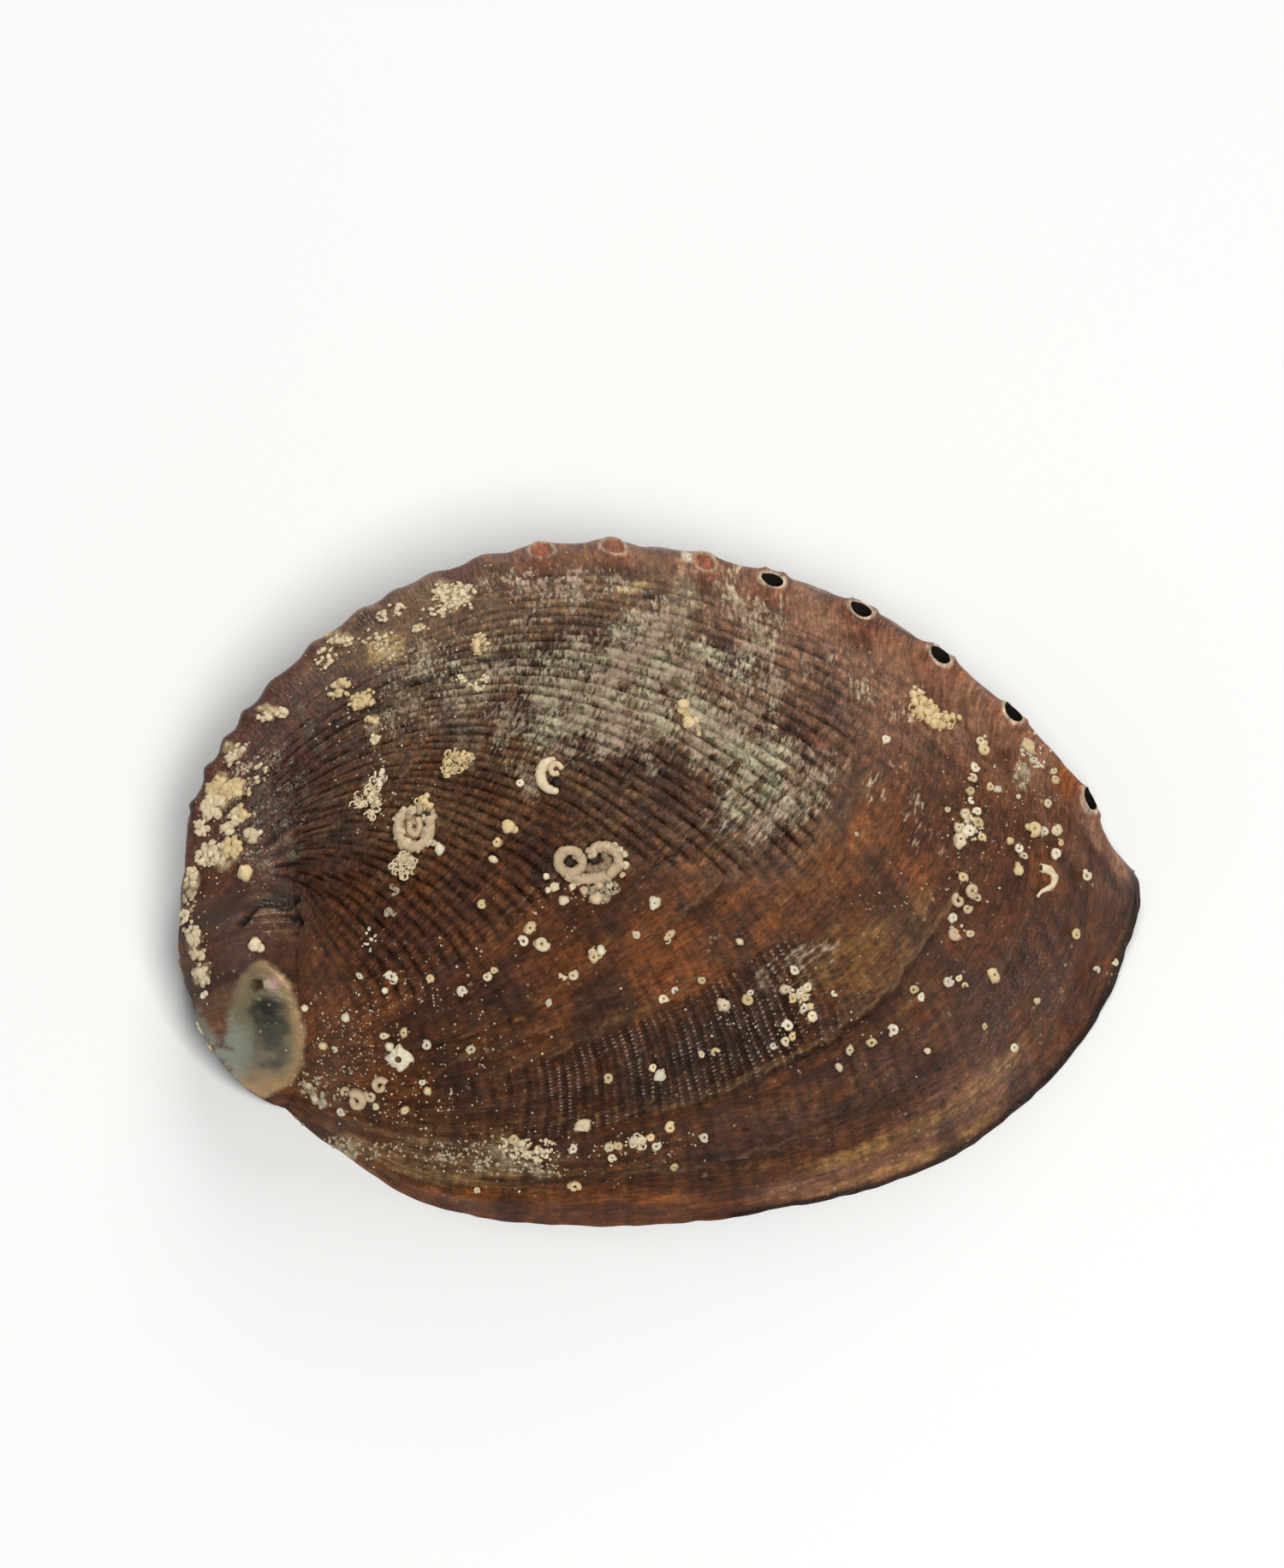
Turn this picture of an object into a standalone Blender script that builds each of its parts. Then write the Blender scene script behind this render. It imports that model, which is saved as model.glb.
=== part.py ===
"""An abalone shell lying on its aperture, with the larger worm tubes and the barnacle that grew on it.

The shell is a loft of growth lines. Each growth line is an old position of the lip: it runs from the
suture beside the spire to the row of holes, and then down a steep band to the columellar margin. The
stations along the shell's growth go from 0 at the top of the spire to 1 at the lip.
Lengths are in millimetres until the meshes are made. +X is towards the growing lip, +Y towards the
row of holes, and +Z up. The origin is under the middle of the shell, on the surface it lies on.
"""

import math

import bmesh
import bpy
import numpy as np
from mathutils import Matrix, Vector

MM = 0.001

# Driving dimensions of the shell
WALL = 2.2
LIP_WALL = 1.0
LIP_THINNING = 0.2
SHELF_WIDTH = 7.0
SHELF_EDGE_RISE = 0.6
FLAT_SPOT = (0.36, 0.64)
RIDGE_HEIGHT = 0.7
RIDGE_WIDTH = 2.6
SUTURE_DEPTH = 0.9
SUTURE_WIDTH = 1.6
SUTURE_FADES_IN = (0.0, 0.08)
SUTURE_FADES_OUT = (0.6, 1.0)
SPIRE_SHELF_SHARE = 0.8
SHELF_RUNS_OUT = 0.25
FLAT_SPOT_EASE = 0.1
LINE_OVER_CHORD = 1.18
SEAT_HEIGHT = 0.55

# How finely the sheets are cut: columns along the growth, rows on the longest growth line, rows across
# the spire, and rows down the band
OUTSIDE_SHEET = (56, 32, 6, 6)
INSIDE_SHEET = (28, 16, 4, 4)
LEAST_ROWS = 4
LINE_SAMPLES = 33

# The lines below are drawn in plan about a point beside the middle: this moves them onto the middle
TO_MIDDLE = np.array((0.0, 1.32, 0.0))

# The row of holes, from the top of the spire to the notch in the lip
SEAM = (
    (-59.5, -8.4, 11.5), (-57.8, 4.0, 13.0), (-51.2, 15.8, 15.2), (-43.3, 23.8, 17.2), (-28.6, 32.3, 19.6),
    (-15.0, 36.2, 20.4), (-1.2, 36.2, 20.4), (13.8, 32.7, 19.5), (25.0, 28.9, 18.3), (34.5, 23.5, 16.6),
    (43.6, 16.6, 14.0), (52.6, 7.3, 10.0), (55.5, 2.6, 6.5), (59.2, 1.1, 1.5),
)

# Where the row would go at the lip without the small beak beside the notch
GUIDE = SEAM[:-2] + ((55.5, 2.6, 6.5), (57.3, -1.2, 1.5))
BEAK_POWER = 12

# The suture, from the top of the spire down its right side to where the lip starts
SUTURE_STATIONS = (0.0, 0.05, 0.1, 0.17, 0.3, 0.5, 0.7, 0.82, 1.0)
SUTURE = (
    (-50.8, -9.4, 17.0), (-48.4, -10.4, 18.8), (-46.2, -11.9, 19.9), (-45.3, -14.6, 19.5),
    (-45.2, -19.4, 17.0), (-44.4, -25.9, 10.4), (-44.7, -28.3, 5.8), (-45.5, -29.8, 3.0), (-46.7, -30.8, 0.0),
)

# The spire's outer shoulder, from the top of the spire down its left side to where the lip starts
SHOULDER = (
    (-59.5, -8.4, 11.5), (-59.8, -10.3, 11.3), (-60.0, -12.2, 11.0), (-59.8, -14.8, 10.5),
    (-58.8, -18.4, 9.5), (-56.9, -23.8, 7.5), (-52.7, -28.9, 4.4), (-49.8, -30.3, 2.5), (-46.7, -30.8, 0.0),
)

# The lip's edge on the ground, from the suture round to the notch
LIP = (
    (-46.7, -30.8), (-43.9, -33.7), (-38.3, -38.2), (-32.5, -42.2), (-25.1, -45.0), (-16.1, -46.6),
    (-7.6, -46.8), (10.2, -45.4), (23.5, -42.5), (36.9, -37.0), (45.7, -29.9), (50.2, -25.1),
    (55.5, -17.2), (57.9, -10.3), (60.0, -3.4), (60.0, -1.6), (59.8, 0.0), (59.2, 1.1),
)

# The same edge as a former lip has it, with no corner beside the row: only its last points differ
FORMER_LIP = LIP[:9] + (
    (36.5, -36.8), (44.8, -29.6), (49.0, -24.4), (52.6, -17.8), (54.2, -12.0), (54.8, -7.5), (55.2, -5.0),
    (56.0, -2.8), (57.3, -1.2),
)
CORNER_FROM = 0.75

# How far a young growth line leans from its chord at the suture and at the row, in degrees
YOUNG_START_LEAN = -22.0
YOUNG_END_LEAN = 36.0
YOUNG_HANDLE = 0.4
LIP_SHAPE_FROM = 0.35

# Height of the crown over a line from suture to row, by station
CROWN_STATIONS = (0.0, 0.1, 0.2, 0.3, 0.4, 0.5, 0.6, 0.7, 0.8, 0.9, 0.95, 1.0)
CROWN = (0.0, 2.0, 4.8, 8.2, 11.0, 12.2, 11.2, 8.6, 5.2, 2.2, 1.5, 0.0)
CROWN_POWER = 0.8
LIP_FLAT_FROM = 0.8
LIP_FLATNESS = 11
SPIRE_DOME = (0.0, 1.0, 2.0, 2.6, 3.0, 3.2, 2.0, 1.0, 0.0)

# The band below the row: how far it stands out beyond the row at the ground, by station
BAND_STATIONS = (0.0, 0.1, 0.2, 0.3, 0.4, 0.5, 0.7, 0.8, 0.9, 1.0)
BAND = (0.2, 0.6, 1.8, 3.6, 5.8, 7.6, 7.0, 5.2, 2.4, 0.8)
SPIRE_BAND = (0.2, 0.0, -0.3, -0.8, -1.6, -1.8, -1.4, -0.8, 0.0)
BAND_POWER = 1.15

# The row's holes, by station: open ones, ones grown shut, and worn knobs
OPEN_HOLES = (0.634, 0.710, 0.783, 0.856, 0.944)
SHUT_HOLES = (0.444, 0.502, 0.576)
KNOBS = (0.085, 0.116, 0.143, 0.169, 0.200, 0.245, 0.290, 0.323, 0.355, 0.398)
HOLE_LENGTH = 3.0
HOLE_WIDTH = 2.0
HOLE_SIDES = 12
HOLE_DEPTH = 9.0
HOLE_TAPER = 0.8
HOLE_LEAN = 0.75
MOUND_HEIGHT = 1.1
MOUND_RADIUS = 2.6
KNOB_HEIGHT = 0.8
KNOB_RADIUS_PER_STATION = 4.4

# Growth steps: former lips that still stand proud, by station and height
GROWTH_STEPS = ((0.42, 0.35), (0.60, 0.45), (0.70, 0.35), (0.855, 0.6), (0.93, 0.3))
STEP_FADE = 0.03
RELIEF_STOPS = 0.03
RIDGE_STARTS = 0.1
BAND_DEPTH = 14.0
APERTURE_MIDDLE = (0.0, -2.7)

# Where the larger animals sit: station along the growth, and share of the way from suture to row
TWIN_AT = (0.598, 0.448)
COIL_AT = (0.378, 0.340)
CRESCENT_AT = (0.497, 0.522)
KNOT_AT = (0.780, 0.935)
BARNACLE_AT = (0.710, 0.118)
TUBE_RADIUS = 0.62
COIL_TUBE_RADIUS = 0.75
TWIN_RING = 1.3
COIL_RING = 1.7
CRESCENT_RING = 1.5

# The twin tube's way on from its first ring, and the knot's way, square to the surface they sit on
TWIN_WAY = (
    (-0.9, -1.5, 0.0), (1.1, -1.55, 0.0), (2.7, -1.4, 0.0), (3.8, -0.5, 0.0), (4.0, 0.8, 0.0),
    (3.0, 1.8, 0.2), (1.6, 1.6, 0.5), (0.9, 0.9, 0.8),
)
KNOT_WAY = (
    (-2.1, 1.9, 0.0), (-1.5, 0.6, 0.0), (-0.2, 0.4, 0.0), (0.4, -0.6, 0.0), (0.3, -1.8, 0.0),
    (1.7, -1.9, 0.0), (2.9, -1.2, 0.0), (4.1, -0.8, 0.0),
)
BARNACLE_RADIUS = 1.8
BARNACLE_HEIGHT = 1.2
BARNACLE_SIDES = 16


def smooth(stations, values, at):
    """Values given at stations, joined by a smooth curve and read at other stations."""
    stations = np.asarray(stations, float)
    values = np.asarray(values, float)
    at = np.asarray(at, float)
    slopes = np.gradient(values, stations, axis=0)
    k = np.clip(np.searchsorted(stations, at, side="right") - 1, 0, len(stations) - 2)
    width = stations[k + 1] - stations[k]
    x = np.clip((at - stations[k]) / width, 0, 1)
    if values.ndim > 1:
        width = width[..., None]
        x = x[..., None]
    start, end = values[k], values[k + 1]
    return (
        (1 + 2 * x) * (1 - x) ** 2 * start
        + x * (1 - x) ** 2 * width * slopes[k]
        + x ** 2 * (3 - 2 * x) * end
        - x ** 2 * (1 - x) * width * slopes[k + 1]
    )


def arc_stations(points):
    """Each point's share of the polyline's length."""
    steps = np.linalg.norm(np.diff(np.asarray(points, float), axis=0), axis=1)
    return np.concatenate([[0.0], np.cumsum(steps)]) / steps.sum()


def as_plan(points):
    points = np.asarray(points, float)
    return points[..., 0] + 1j * points[..., 1]


SEAM_STATIONS = arc_stations([point[:2] for point in SEAM])
LIP_STATIONS = arc_stations(LIP)
SEAM_LENGTH = float(np.abs(np.diff(as_plan(SEAM))).sum())
LIP_LENGTH = float(np.abs(np.diff(as_plan(LIP))).sum())


def seam(s):
    return smooth(SEAM_STATIONS, SEAM, s) + TO_MIDDLE


def guide(s):
    return smooth(SEAM_STATIONS, GUIDE, s) + TO_MIDDLE


def suture(s):
    return smooth(SUTURE_STATIONS, SUTURE, s) + TO_MIDDLE


def shoulder(s):
    return smooth(SUTURE_STATIONS, SHOULDER, s) + TO_MIDDLE


def edge_form(edge, v):
    """A lip's edge in plan, without its beak, as a share of the chord from suture to row."""
    line = as_plan(smooth(LIP_STATIONS, edge, v))
    start, end, row_end = as_plan(edge[0]), as_plan(edge[-1]), as_plan(GUIDE[-1])
    return (line - v ** BEAK_POWER * (end - row_end) - start) / (row_end - start)


def ease(start, end, at):
    """A smooth step from 0 at start to 1 at end."""
    x = np.clip((np.asarray(at, float) - start) / (end - start), 0, 1)
    return x ** 2 * (3 - 2 * x)


def young_form(v):
    """A young growth line in plan, as a share of its chord: a plain curve with two handles."""
    out = YOUNG_HANDLE * np.exp(1j * math.radians(YOUNG_START_LEAN))
    back = 1 - YOUNG_HANDLE * np.exp(1j * math.radians(YOUNG_END_LEAN))
    return 3 * v * (1 - v) ** 2 * out + 3 * v ** 2 * (1 - v) * back + v ** 3


def crown(s, v):
    """The smooth outside between suture (v = 0) and row (v = 1)."""
    s, v = np.broadcast_arrays(np.asarray(s, float), np.asarray(v, float))
    inner, outer = suture(s), seam(s)
    grown = ease(LIP_SHAPE_FROM, 1, s)
    cornered = np.clip((s - CORNER_FROM) / (1 - CORNER_FROM), 0, 1) ** 3
    lip = edge_form(FORMER_LIP, v) * (1 - cornered) + edge_form(LIP, v) * cornered
    form = young_form(v) * (1 - grown) + lip * grown
    row = as_plan(guide(s))
    plan = as_plan(inner) + form * (row - as_plan(inner)) + v ** BEAK_POWER * (as_plan(outer) - row)
    power = 1 + LIP_FLATNESS * np.clip((s - LIP_FLAT_FROM) / (1 - LIP_FLAT_FROM), 0, 1) ** 6
    rise = inner[..., 2] + (outer[..., 2] - inner[..., 2]) * v ** power
    dome = smooth(CROWN_STATIONS, CROWN, s) * (4 * v * (1 - v)) ** CROWN_POWER
    return np.stack([plan.real, plan.imag, rise + dome], axis=-1)


def spire(s, q):
    """The smooth outside of the spire, from the suture (q = 0) to its left shoulder (q = 1)."""
    s, q = np.broadcast_arrays(np.asarray(s, float), np.asarray(q, float))
    inner, outer = suture(s), shoulder(s)
    place = inner + (outer - inner) * q[..., None]
    place[..., 2] += smooth(SUTURE_STATIONS, SPIRE_DOME, s) * 4 * q * (1 - q)
    return place


def outward(curve, s):
    """The unit normal in plan that points away from the shell's middle."""
    step = 0.004
    ahead = as_plan(curve(np.clip(s + step, 0, 1))) - as_plan(curve(np.clip(s - step, 0, 1)))
    side = ahead / np.abs(ahead)
    return side * (1j if curve is seam else -1j)


def band(curve, widths, s, b):
    """The steep outside below the row (b = 0) or the spire's shoulder, down to the ground (b = 1)."""
    s, b = np.broadcast_arrays(np.asarray(s, float), np.asarray(b, float))
    top = curve(s)
    plan = as_plan(top) + outward(curve, s) * widths(s) * b
    return np.stack([plan.real, plan.imag, top[..., 2] * (1 - b ** BAND_POWER)], axis=-1)


def row_band_width(s):
    return smooth(BAND_STATIONS, BAND, s)


def spire_band_width(s):
    return smooth(SUTURE_STATIONS, SPIRE_BAND, s)


def shelf_width(s, on_spire):
    """The flat columellar shelf is widest beside the row and runs out towards the lip."""
    if on_spire:
        return SHELF_WIDTH * SPIRE_SHELF_SHARE * (1 - s) ** 0.5 + LIP_WALL
    return LIP_WALL + (SHELF_WIDTH - LIP_WALL) * np.clip((1 - s) / SHELF_RUNS_OUT, 0, 1) ** 0.7


def shelf_rise(s, on_spire):
    """The shelf's inner edge stands a little above the ground, but for the flat spot in its middle."""
    start, end = FLAT_SPOT
    flat = ease(start - FLAT_SPOT_EASE, start, s) * (1 - ease(end, end + FLAT_SPOT_EASE, s))
    return SHELF_EDGE_RISE * (1 - ease(1 - FLAT_SPOT_EASE, 1, s)) * (1 - (0 if on_spire else flat))


def relief(s, v, length):
    """How far the outside stands proud of the smooth form: ridge, holes, knobs, steps and suture."""
    from_row = np.abs(1 - v) * length
    height = RIDGE_HEIGHT * np.exp(-((from_row / RIDGE_WIDTH) ** 2)) * np.clip(s / RIDGE_STARTS, 0, 1)
    for station in OPEN_HOLES + SHUT_HOLES:
        away = np.hypot((s - station) * SEAM_LENGTH, from_row) / MOUND_RADIUS
        height = height + MOUND_HEIGHT * np.exp(-(away ** 2))
    for station in KNOBS:
        radius = KNOB_RADIUS_PER_STATION * station ** 0.75
        away = np.hypot((s - station) * SEAM_LENGTH, from_row) / radius
        height = height + KNOB_HEIGHT * np.exp(-(away ** 2))
    on_line = np.sin(math.pi * np.clip(v, 0, 1)) ** 0.5
    for station, step in GROWTH_STEPS:
        before = np.clip((station - s) / STEP_FADE, 0, None)
        height = height + np.where(s <= station, step * np.exp(-before), 0) * on_line
    from_suture = v * length / SUTURE_WIDTH
    return height - suture_depth(s) * np.exp(-(from_suture ** 2))


def suture_depth(s):
    """The suture's groove dies out at both its ends."""
    return SUTURE_DEPTH * ease(*SUTURE_FADES_IN, s) * (1 - ease(*SUTURE_FADES_OUT, s))


def station_rows(stations, full):
    """Rows of points on each growth line: fewer where the line is short, halved step by step."""
    rows = []
    for s in stations:
        line = crown(s, np.linspace(0, 1, LINE_SAMPLES))
        length = np.linalg.norm(np.diff(line, axis=0), axis=1).sum()
        count = full
        while count > LEAST_ROWS and length / count < 0.5 * LIP_LENGTH / full:
            count //= 2
        rows.append(count)
    return rows


def build_sheet(columns, rows, spire_rows, band_rows):
    """A surface over the whole shell, as points with their (kind, s, p), and the strips between columns."""
    stations = np.linspace(0, 1, columns + 1)
    counts = station_rows(stations, rows)
    points = []
    rights, lefts = [], []

    def add(kind, s, p):
        points.append((kind, s, p))
        return len(points) - 1

    for i, s in enumerate(stations):
        start = add("crown", s, 0.0)
        right = [(start, 0.0)]
        right += [(add("crown", s, k / counts[i]), k / counts[i]) for k in range(1, counts[i] + 1)]
        right += [(add("band", s, k / band_rows), 1 + k / band_rows) for k in range(1, band_rows + 1)]
        if i == 0:
            left = right
        elif i == columns:
            left = [(start, 0.0)]
        else:
            left = [(start, 0.0)]
            left += [(add("spire", s, k / spire_rows), k / spire_rows) for k in range(1, spire_rows + 1)]
            left += [(add("foot", s, k / band_rows), 1 + k / band_rows) for k in range(1, band_rows + 1)]
        rights.append(right)
        lefts.append(left)
    faces = []
    for i in range(columns):
        faces += zipped(rights[i], rights[i + 1])
        faces += zipped(lefts[i + 1], lefts[i])
    margins = {
        "lip": rights[-1],
        "row": [(rights[i][-1][0], i / columns) for i in range(columns + 1)],
        "foot": [(lefts[i][-1][0], i / columns) for i in range(columns + 1)],
    }
    return points, faces, margins


def zipped(first, second):
    """Triangles between two rows of (index, parameter) whose counts may differ."""
    faces = []
    i = j = 0
    while i < len(first) - 1 or j < len(second) - 1:
        take_first = j == len(second) - 1 or (
            i < len(first) - 1 and first[i + 1][1] <= second[j + 1][1]
        )
        if take_first:
            face = (first[i][0], second[j][0], first[i + 1][0])
            i += 1
        else:
            face = (first[i][0], second[j][0], second[j + 1][0])
            j += 1
        if len(set(face)) == 3:
            faces.append(face)
    return faces


def placed(points, raised):
    """The outside's coordinates for points given as (kind, s, p)."""
    place = np.empty((len(points), 3))
    for kind in ("crown", "spire", "band", "foot"):
        chosen = np.array([k for k, point in enumerate(points) if point[0] == kind])
        s = np.array([points[k][1] for k in chosen])
        p = np.array([points[k][2] for k in chosen])
        if kind == "crown":
            found = crown(s, p)
            length = np.abs(as_plan(seam(s)) - as_plan(suture(s))) * LINE_OVER_CHORD
            fade = np.clip((1 - s) / RELIEF_STOPS, 0, 1)
            found[:, 2] += relief(s, p, length) * fade * raised
        elif kind == "spire":
            found = spire(s, p)
            away = np.abs(as_plan(shoulder(s)) - as_plan(suture(s))) * p / SUTURE_WIDTH
            found[:, 2] -= raised * suture_depth(s) * np.exp(-(away ** 2))
        elif kind == "band":
            found = band(seam, row_band_width, s, p)
            fade = np.clip((1 - s) / RELIEF_STOPS, 0, 1) * (1 - p)
            found[:, 2] += relief(s, 1 + p, BAND_DEPTH) * fade * raised
        else:
            found = band(shoulder, spire_band_width, s, p)
        place[chosen] = found
    return place


def vertex_normals(place, faces):
    faces = np.asarray(faces)
    corners = place[faces]
    face_normals = np.cross(corners[:, 1] - corners[:, 0], corners[:, 2] - corners[:, 0])
    normals = np.zeros_like(place)
    for corner in range(3):
        np.add.at(normals, faces[:, corner], face_normals)
    return normals / np.maximum(np.linalg.norm(normals, axis=1, keepdims=True), 1e-9)


def wall_thickness(s):
    late = np.clip((1 - s) / LIP_THINNING, 0, 1)
    return LIP_WALL + (WALL - LIP_WALL) * late


def lined(points, faces):
    """The inside: the outside moved in by the wall, and drawn in to the shelf's edge below the row."""
    outside = placed(points, 0.0)
    inward = -vertex_normals(outside, faces)
    s = np.array([point[1] for point in points])
    place = outside + inward * wall_thickness(s)[:, None]
    index = {point: k for k, point in enumerate(points)}
    for k, (kind, station, p) in enumerate(points):
        if kind not in ("band", "foot"):
            continue
        on_spire = kind == "foot"
        top_kind = "spire" if on_spire else "crown"
        top = place[index[(top_kind, station, 1.0)]]
        curve = shoulder if on_spire else seam
        widths = spire_band_width if on_spire else row_band_width
        away = outward(curve, station)
        ground = band(curve, widths, station, 1.0)
        reach = shelf_width(station, on_spire)
        edge = ground - np.array([away.real, away.imag, 0]) * reach
        edge[2] = shelf_rise(station, on_spire)
        place[k] = top + (edge - top) * p
    last = [k for k, point in enumerate(points) if point[0] == "crown" and point[1] == 1.0]
    for k in last:
        toward = np.array(APERTURE_MIDDLE) - outside[k, :2]
        toward = toward / np.linalg.norm(toward)
        place[k] = outside[k]
        place[k, :2] += toward * LIP_WALL
    place[:, 2] = np.maximum(place[:, 2], 0.0)
    return place


def placement(x_axis, z_axis, origin):
    """The matrix with these two axes and this origin in millimetres."""
    axes = Matrix((x_axis, z_axis.cross(x_axis), z_axis)).transposed()
    return Matrix.Translation(origin * MM) @ axes.to_4x4()


def seat(s, v):
    """A matrix that stands a piece on the crown at (s, v): its X along +X, its Z square to the surface."""
    step = 0.01
    point = crown(s, v)
    along = crown(s + step, v) - crown(s - step, v)
    across = crown(s, v + step) - crown(s, v - step)
    normal = np.cross(across, along)
    normal = Vector(normal if normal[2] > 0 else -normal).normalized()
    x_axis = (Vector((1, 0, 0)) - normal * normal.x).normalized()
    return placement(x_axis, normal, Vector(point) + normal * SEAT_HEIGHT)


def mesh_object(name, place, faces, material):
    mesh = bpy.data.meshes.new(name)
    mesh.from_pydata([tuple(p * MM) for p in place], [], faces)
    mesh.materials.append(material)
    return bpy.data.objects.new(name, mesh)


def surface(name, colour, roughness):
    material = bpy.data.materials.new(name)
    material.use_nodes = True
    shader = material.node_tree.nodes["Principled BSDF"]
    shader.inputs["Base Color"].default_value = (*colour, 1.0)
    shader.inputs["Roughness"].default_value = roughness
    return material


def make_shell(material):
    outer_points, outer_faces, outer_margins = build_sheet(*OUTSIDE_SHEET)
    inner_points, inner_faces, inner_margins = build_sheet(*INSIDE_SHEET)
    outside = placed(outer_points, 1.0)
    inside = lined(inner_points, inner_faces)
    base = len(outside)
    faces = list(outer_faces)
    faces += [tuple(base + k for k in reversed(face)) for face in inner_faces]
    for name in ("lip", "row", "foot"):
        outer_edge = outer_margins[name]
        inner_edge = [(base + k, p) for k, p in inner_margins[name]]
        if name == "row":
            faces += zipped(inner_edge, outer_edge)
        else:
            faces += zipped(outer_edge, inner_edge)
    return mesh_object("shell", np.vstack([outside, inside]), faces, material)


def hole_cutter(station):
    """A slightly tapered oval pin, square to the row's crest, that opens one hole."""
    shape = bmesh.new()
    bmesh.ops.create_cone(
        shape, cap_ends=True, segments=HOLE_SIDES, radius1=HOLE_LENGTH / 2 * HOLE_TAPER * MM,
        radius2=HOLE_LENGTH / 2 * MM, depth=HOLE_DEPTH * MM,
    )
    bmesh.ops.scale(shape, vec=(1, HOLE_WIDTH / HOLE_LENGTH, 1), verts=shape.verts)
    mesh = bpy.data.meshes.new(f"hole_cutter_{station:.3f}")
    shape.to_mesh(mesh)
    shape.free()
    cutter = bpy.data.objects.new(mesh.name, mesh)
    away = outward(seam, station)
    ahead = away * -1j
    normal = Vector((away.real * HOLE_LEAN, away.imag * HOLE_LEAN, 1)).normalized()
    x_axis = Vector((ahead.real, ahead.imag, 0))
    x_axis = (x_axis - normal * x_axis.dot(normal)).normalized()
    cutter.matrix_world = placement(x_axis, normal, Vector(seam(station)))
    cutter.hide_render = True
    cutter.display_type = "WIRE"
    return cutter


def open_holes(shell, cutters):
    for station in OPEN_HOLES:
        cutter = hole_cutter(station)
        cutters.objects.link(cutter)
        cut = shell.modifiers.new(cutter.name, "BOOLEAN")
        cut.operation = "DIFFERENCE"
        cut.solver = "EXACT"
        cut.object = cutter


def worm_tube(name, route, radius, place, material):
    """A lime tube of a worm: a bent tube with closed ends, cemented on the shell at place."""
    curve = bpy.data.curves.new(name, "CURVE")
    curve.dimensions = "3D"
    curve.bevel_depth = radius * MM
    curve.bevel_resolution = 2
    curve.use_fill_caps = True
    curve.materials.append(material)
    line = curve.splines.new("POLY")
    line.points.add(len(route) - 1)
    for point, (x, y, z) in zip(line.points, route):
        point.co = (x * MM, y * MM, (z + radius) * MM, 1)
    obj = bpy.data.objects.new(name, curve)
    obj.matrix_world = place
    return obj


def ring_route(radius, start, turn, points, lift=0.0):
    """Points round a ring, from an angle in degrees over a turn; lift raises its last quarter."""
    route = []
    for k in range(points):
        share = k / (points - 1)
        angle = math.radians(start + turn * share)
        rise = lift * max(0.0, (share - 0.75) / 0.25) ** 2
        route.append((radius * math.cos(angle), radius * math.sin(angle), rise))
    return route


def star_barnacle(name, place, material):
    """A small barnacle: a low ribbed cone with a mouth sunk in its top."""
    rings = (
        (BARNACLE_RADIUS, 0.0, 0.16), (BARNACLE_RADIUS * 0.55, BARNACLE_HEIGHT, 0.08),
        (BARNACLE_RADIUS * 0.32, BARNACLE_HEIGHT, 0.0), (BARNACLE_RADIUS * 0.22, BARNACLE_HEIGHT * 0.45, 0.0),
    )
    shape = bmesh.new()
    loops = []
    for radius, height, ribbing in rings:
        loop = []
        for k in range(BARNACLE_SIDES):
            angle = 2 * math.pi * k / BARNACLE_SIDES
            reach = radius * (1 + ribbing * (-1) ** k)
            point = Vector((reach * math.cos(angle), reach * math.sin(angle), height))
            loop.append(shape.verts.new(point * MM))
        loops.append(loop)
    shape.faces.new(reversed(loops[0]))
    shape.faces.new(loops[-1])
    for low, high in zip(loops, loops[1:]):
        for k in range(BARNACLE_SIDES):
            n = (k + 1) % BARNACLE_SIDES
            shape.faces.new((low[k], low[n], high[n], high[k]))
    mesh = bpy.data.meshes.new(name)
    shape.to_mesh(mesh)
    shape.free()
    mesh.materials.append(material)
    obj = bpy.data.objects.new(name, mesh)
    obj.matrix_world = place
    return obj


def make_animals():
    """The larger animals that cemented themselves to the shell."""
    lime = surface("worm_lime", (0.62, 0.50, 0.38), 0.7)
    bright = surface("barnacle_lime", (0.72, 0.66, 0.52), 0.75)
    twin = [(x - 2 * TWIN_RING, y, z) for x, y, z in ring_route(TWIN_RING, 40, 230, 13)]
    twin += TWIN_WAY
    coil = ring_route(COIL_RING, 20, 300, 16, lift=0.9)
    crescent = ring_route(CRESCENT_RING, 50, 260, 13)
    return [
        worm_tube("worm_tube_twin", twin, TUBE_RADIUS, seat(*TWIN_AT), lime),
        worm_tube("worm_tube_coil", coil, COIL_TUBE_RADIUS, seat(*COIL_AT), lime),
        worm_tube("worm_tube_crescent", crescent, TUBE_RADIUS, seat(*CRESCENT_AT), lime),
        worm_tube("worm_tube_knot", KNOT_WAY, TUBE_RADIUS, seat(*KNOT_AT), lime),
        star_barnacle("star_barnacle", seat(*BARNACLE_AT), bright),
    ]


def clear_scene():
    for obj in list(bpy.data.objects):
        bpy.data.objects.remove(obj)


def main():
    clear_scene()
    group = bpy.data.collections.new("abalone_shell")
    cutters = bpy.data.collections.new("hole_cutters")
    for collection in (group, cutters):
        bpy.context.scene.collection.children.link(collection)
    shell = make_shell(surface("shell_brown", (0.13, 0.045, 0.03), 0.35))
    group.objects.link(shell)
    open_holes(shell, cutters)
    for animal in make_animals():
        group.objects.link(animal)


main()
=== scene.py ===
"""The looks of the abalone shell: cords, growth lines, worn spire, holes, nacre and what grew on it.

Lengths are in millimetres until a mesh is made. Every point of the shell's back has two coordinates, as in
the frame's own source: the station s along its growth, from the top of the spire (0) to the lip (1), and
the share v of the way along its growth line, from the suture (0) to the row of holes (1).
Pixels are those of the photograph, 1500 wide and 1832 high.
"""

import math
from collections import Counter

import bmesh
import bpy
import numpy as np
from mathutils import Matrix, Vector
from mathutils.bvhtree import BVHTree
from mathutils.kdtree import KDTree


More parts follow.
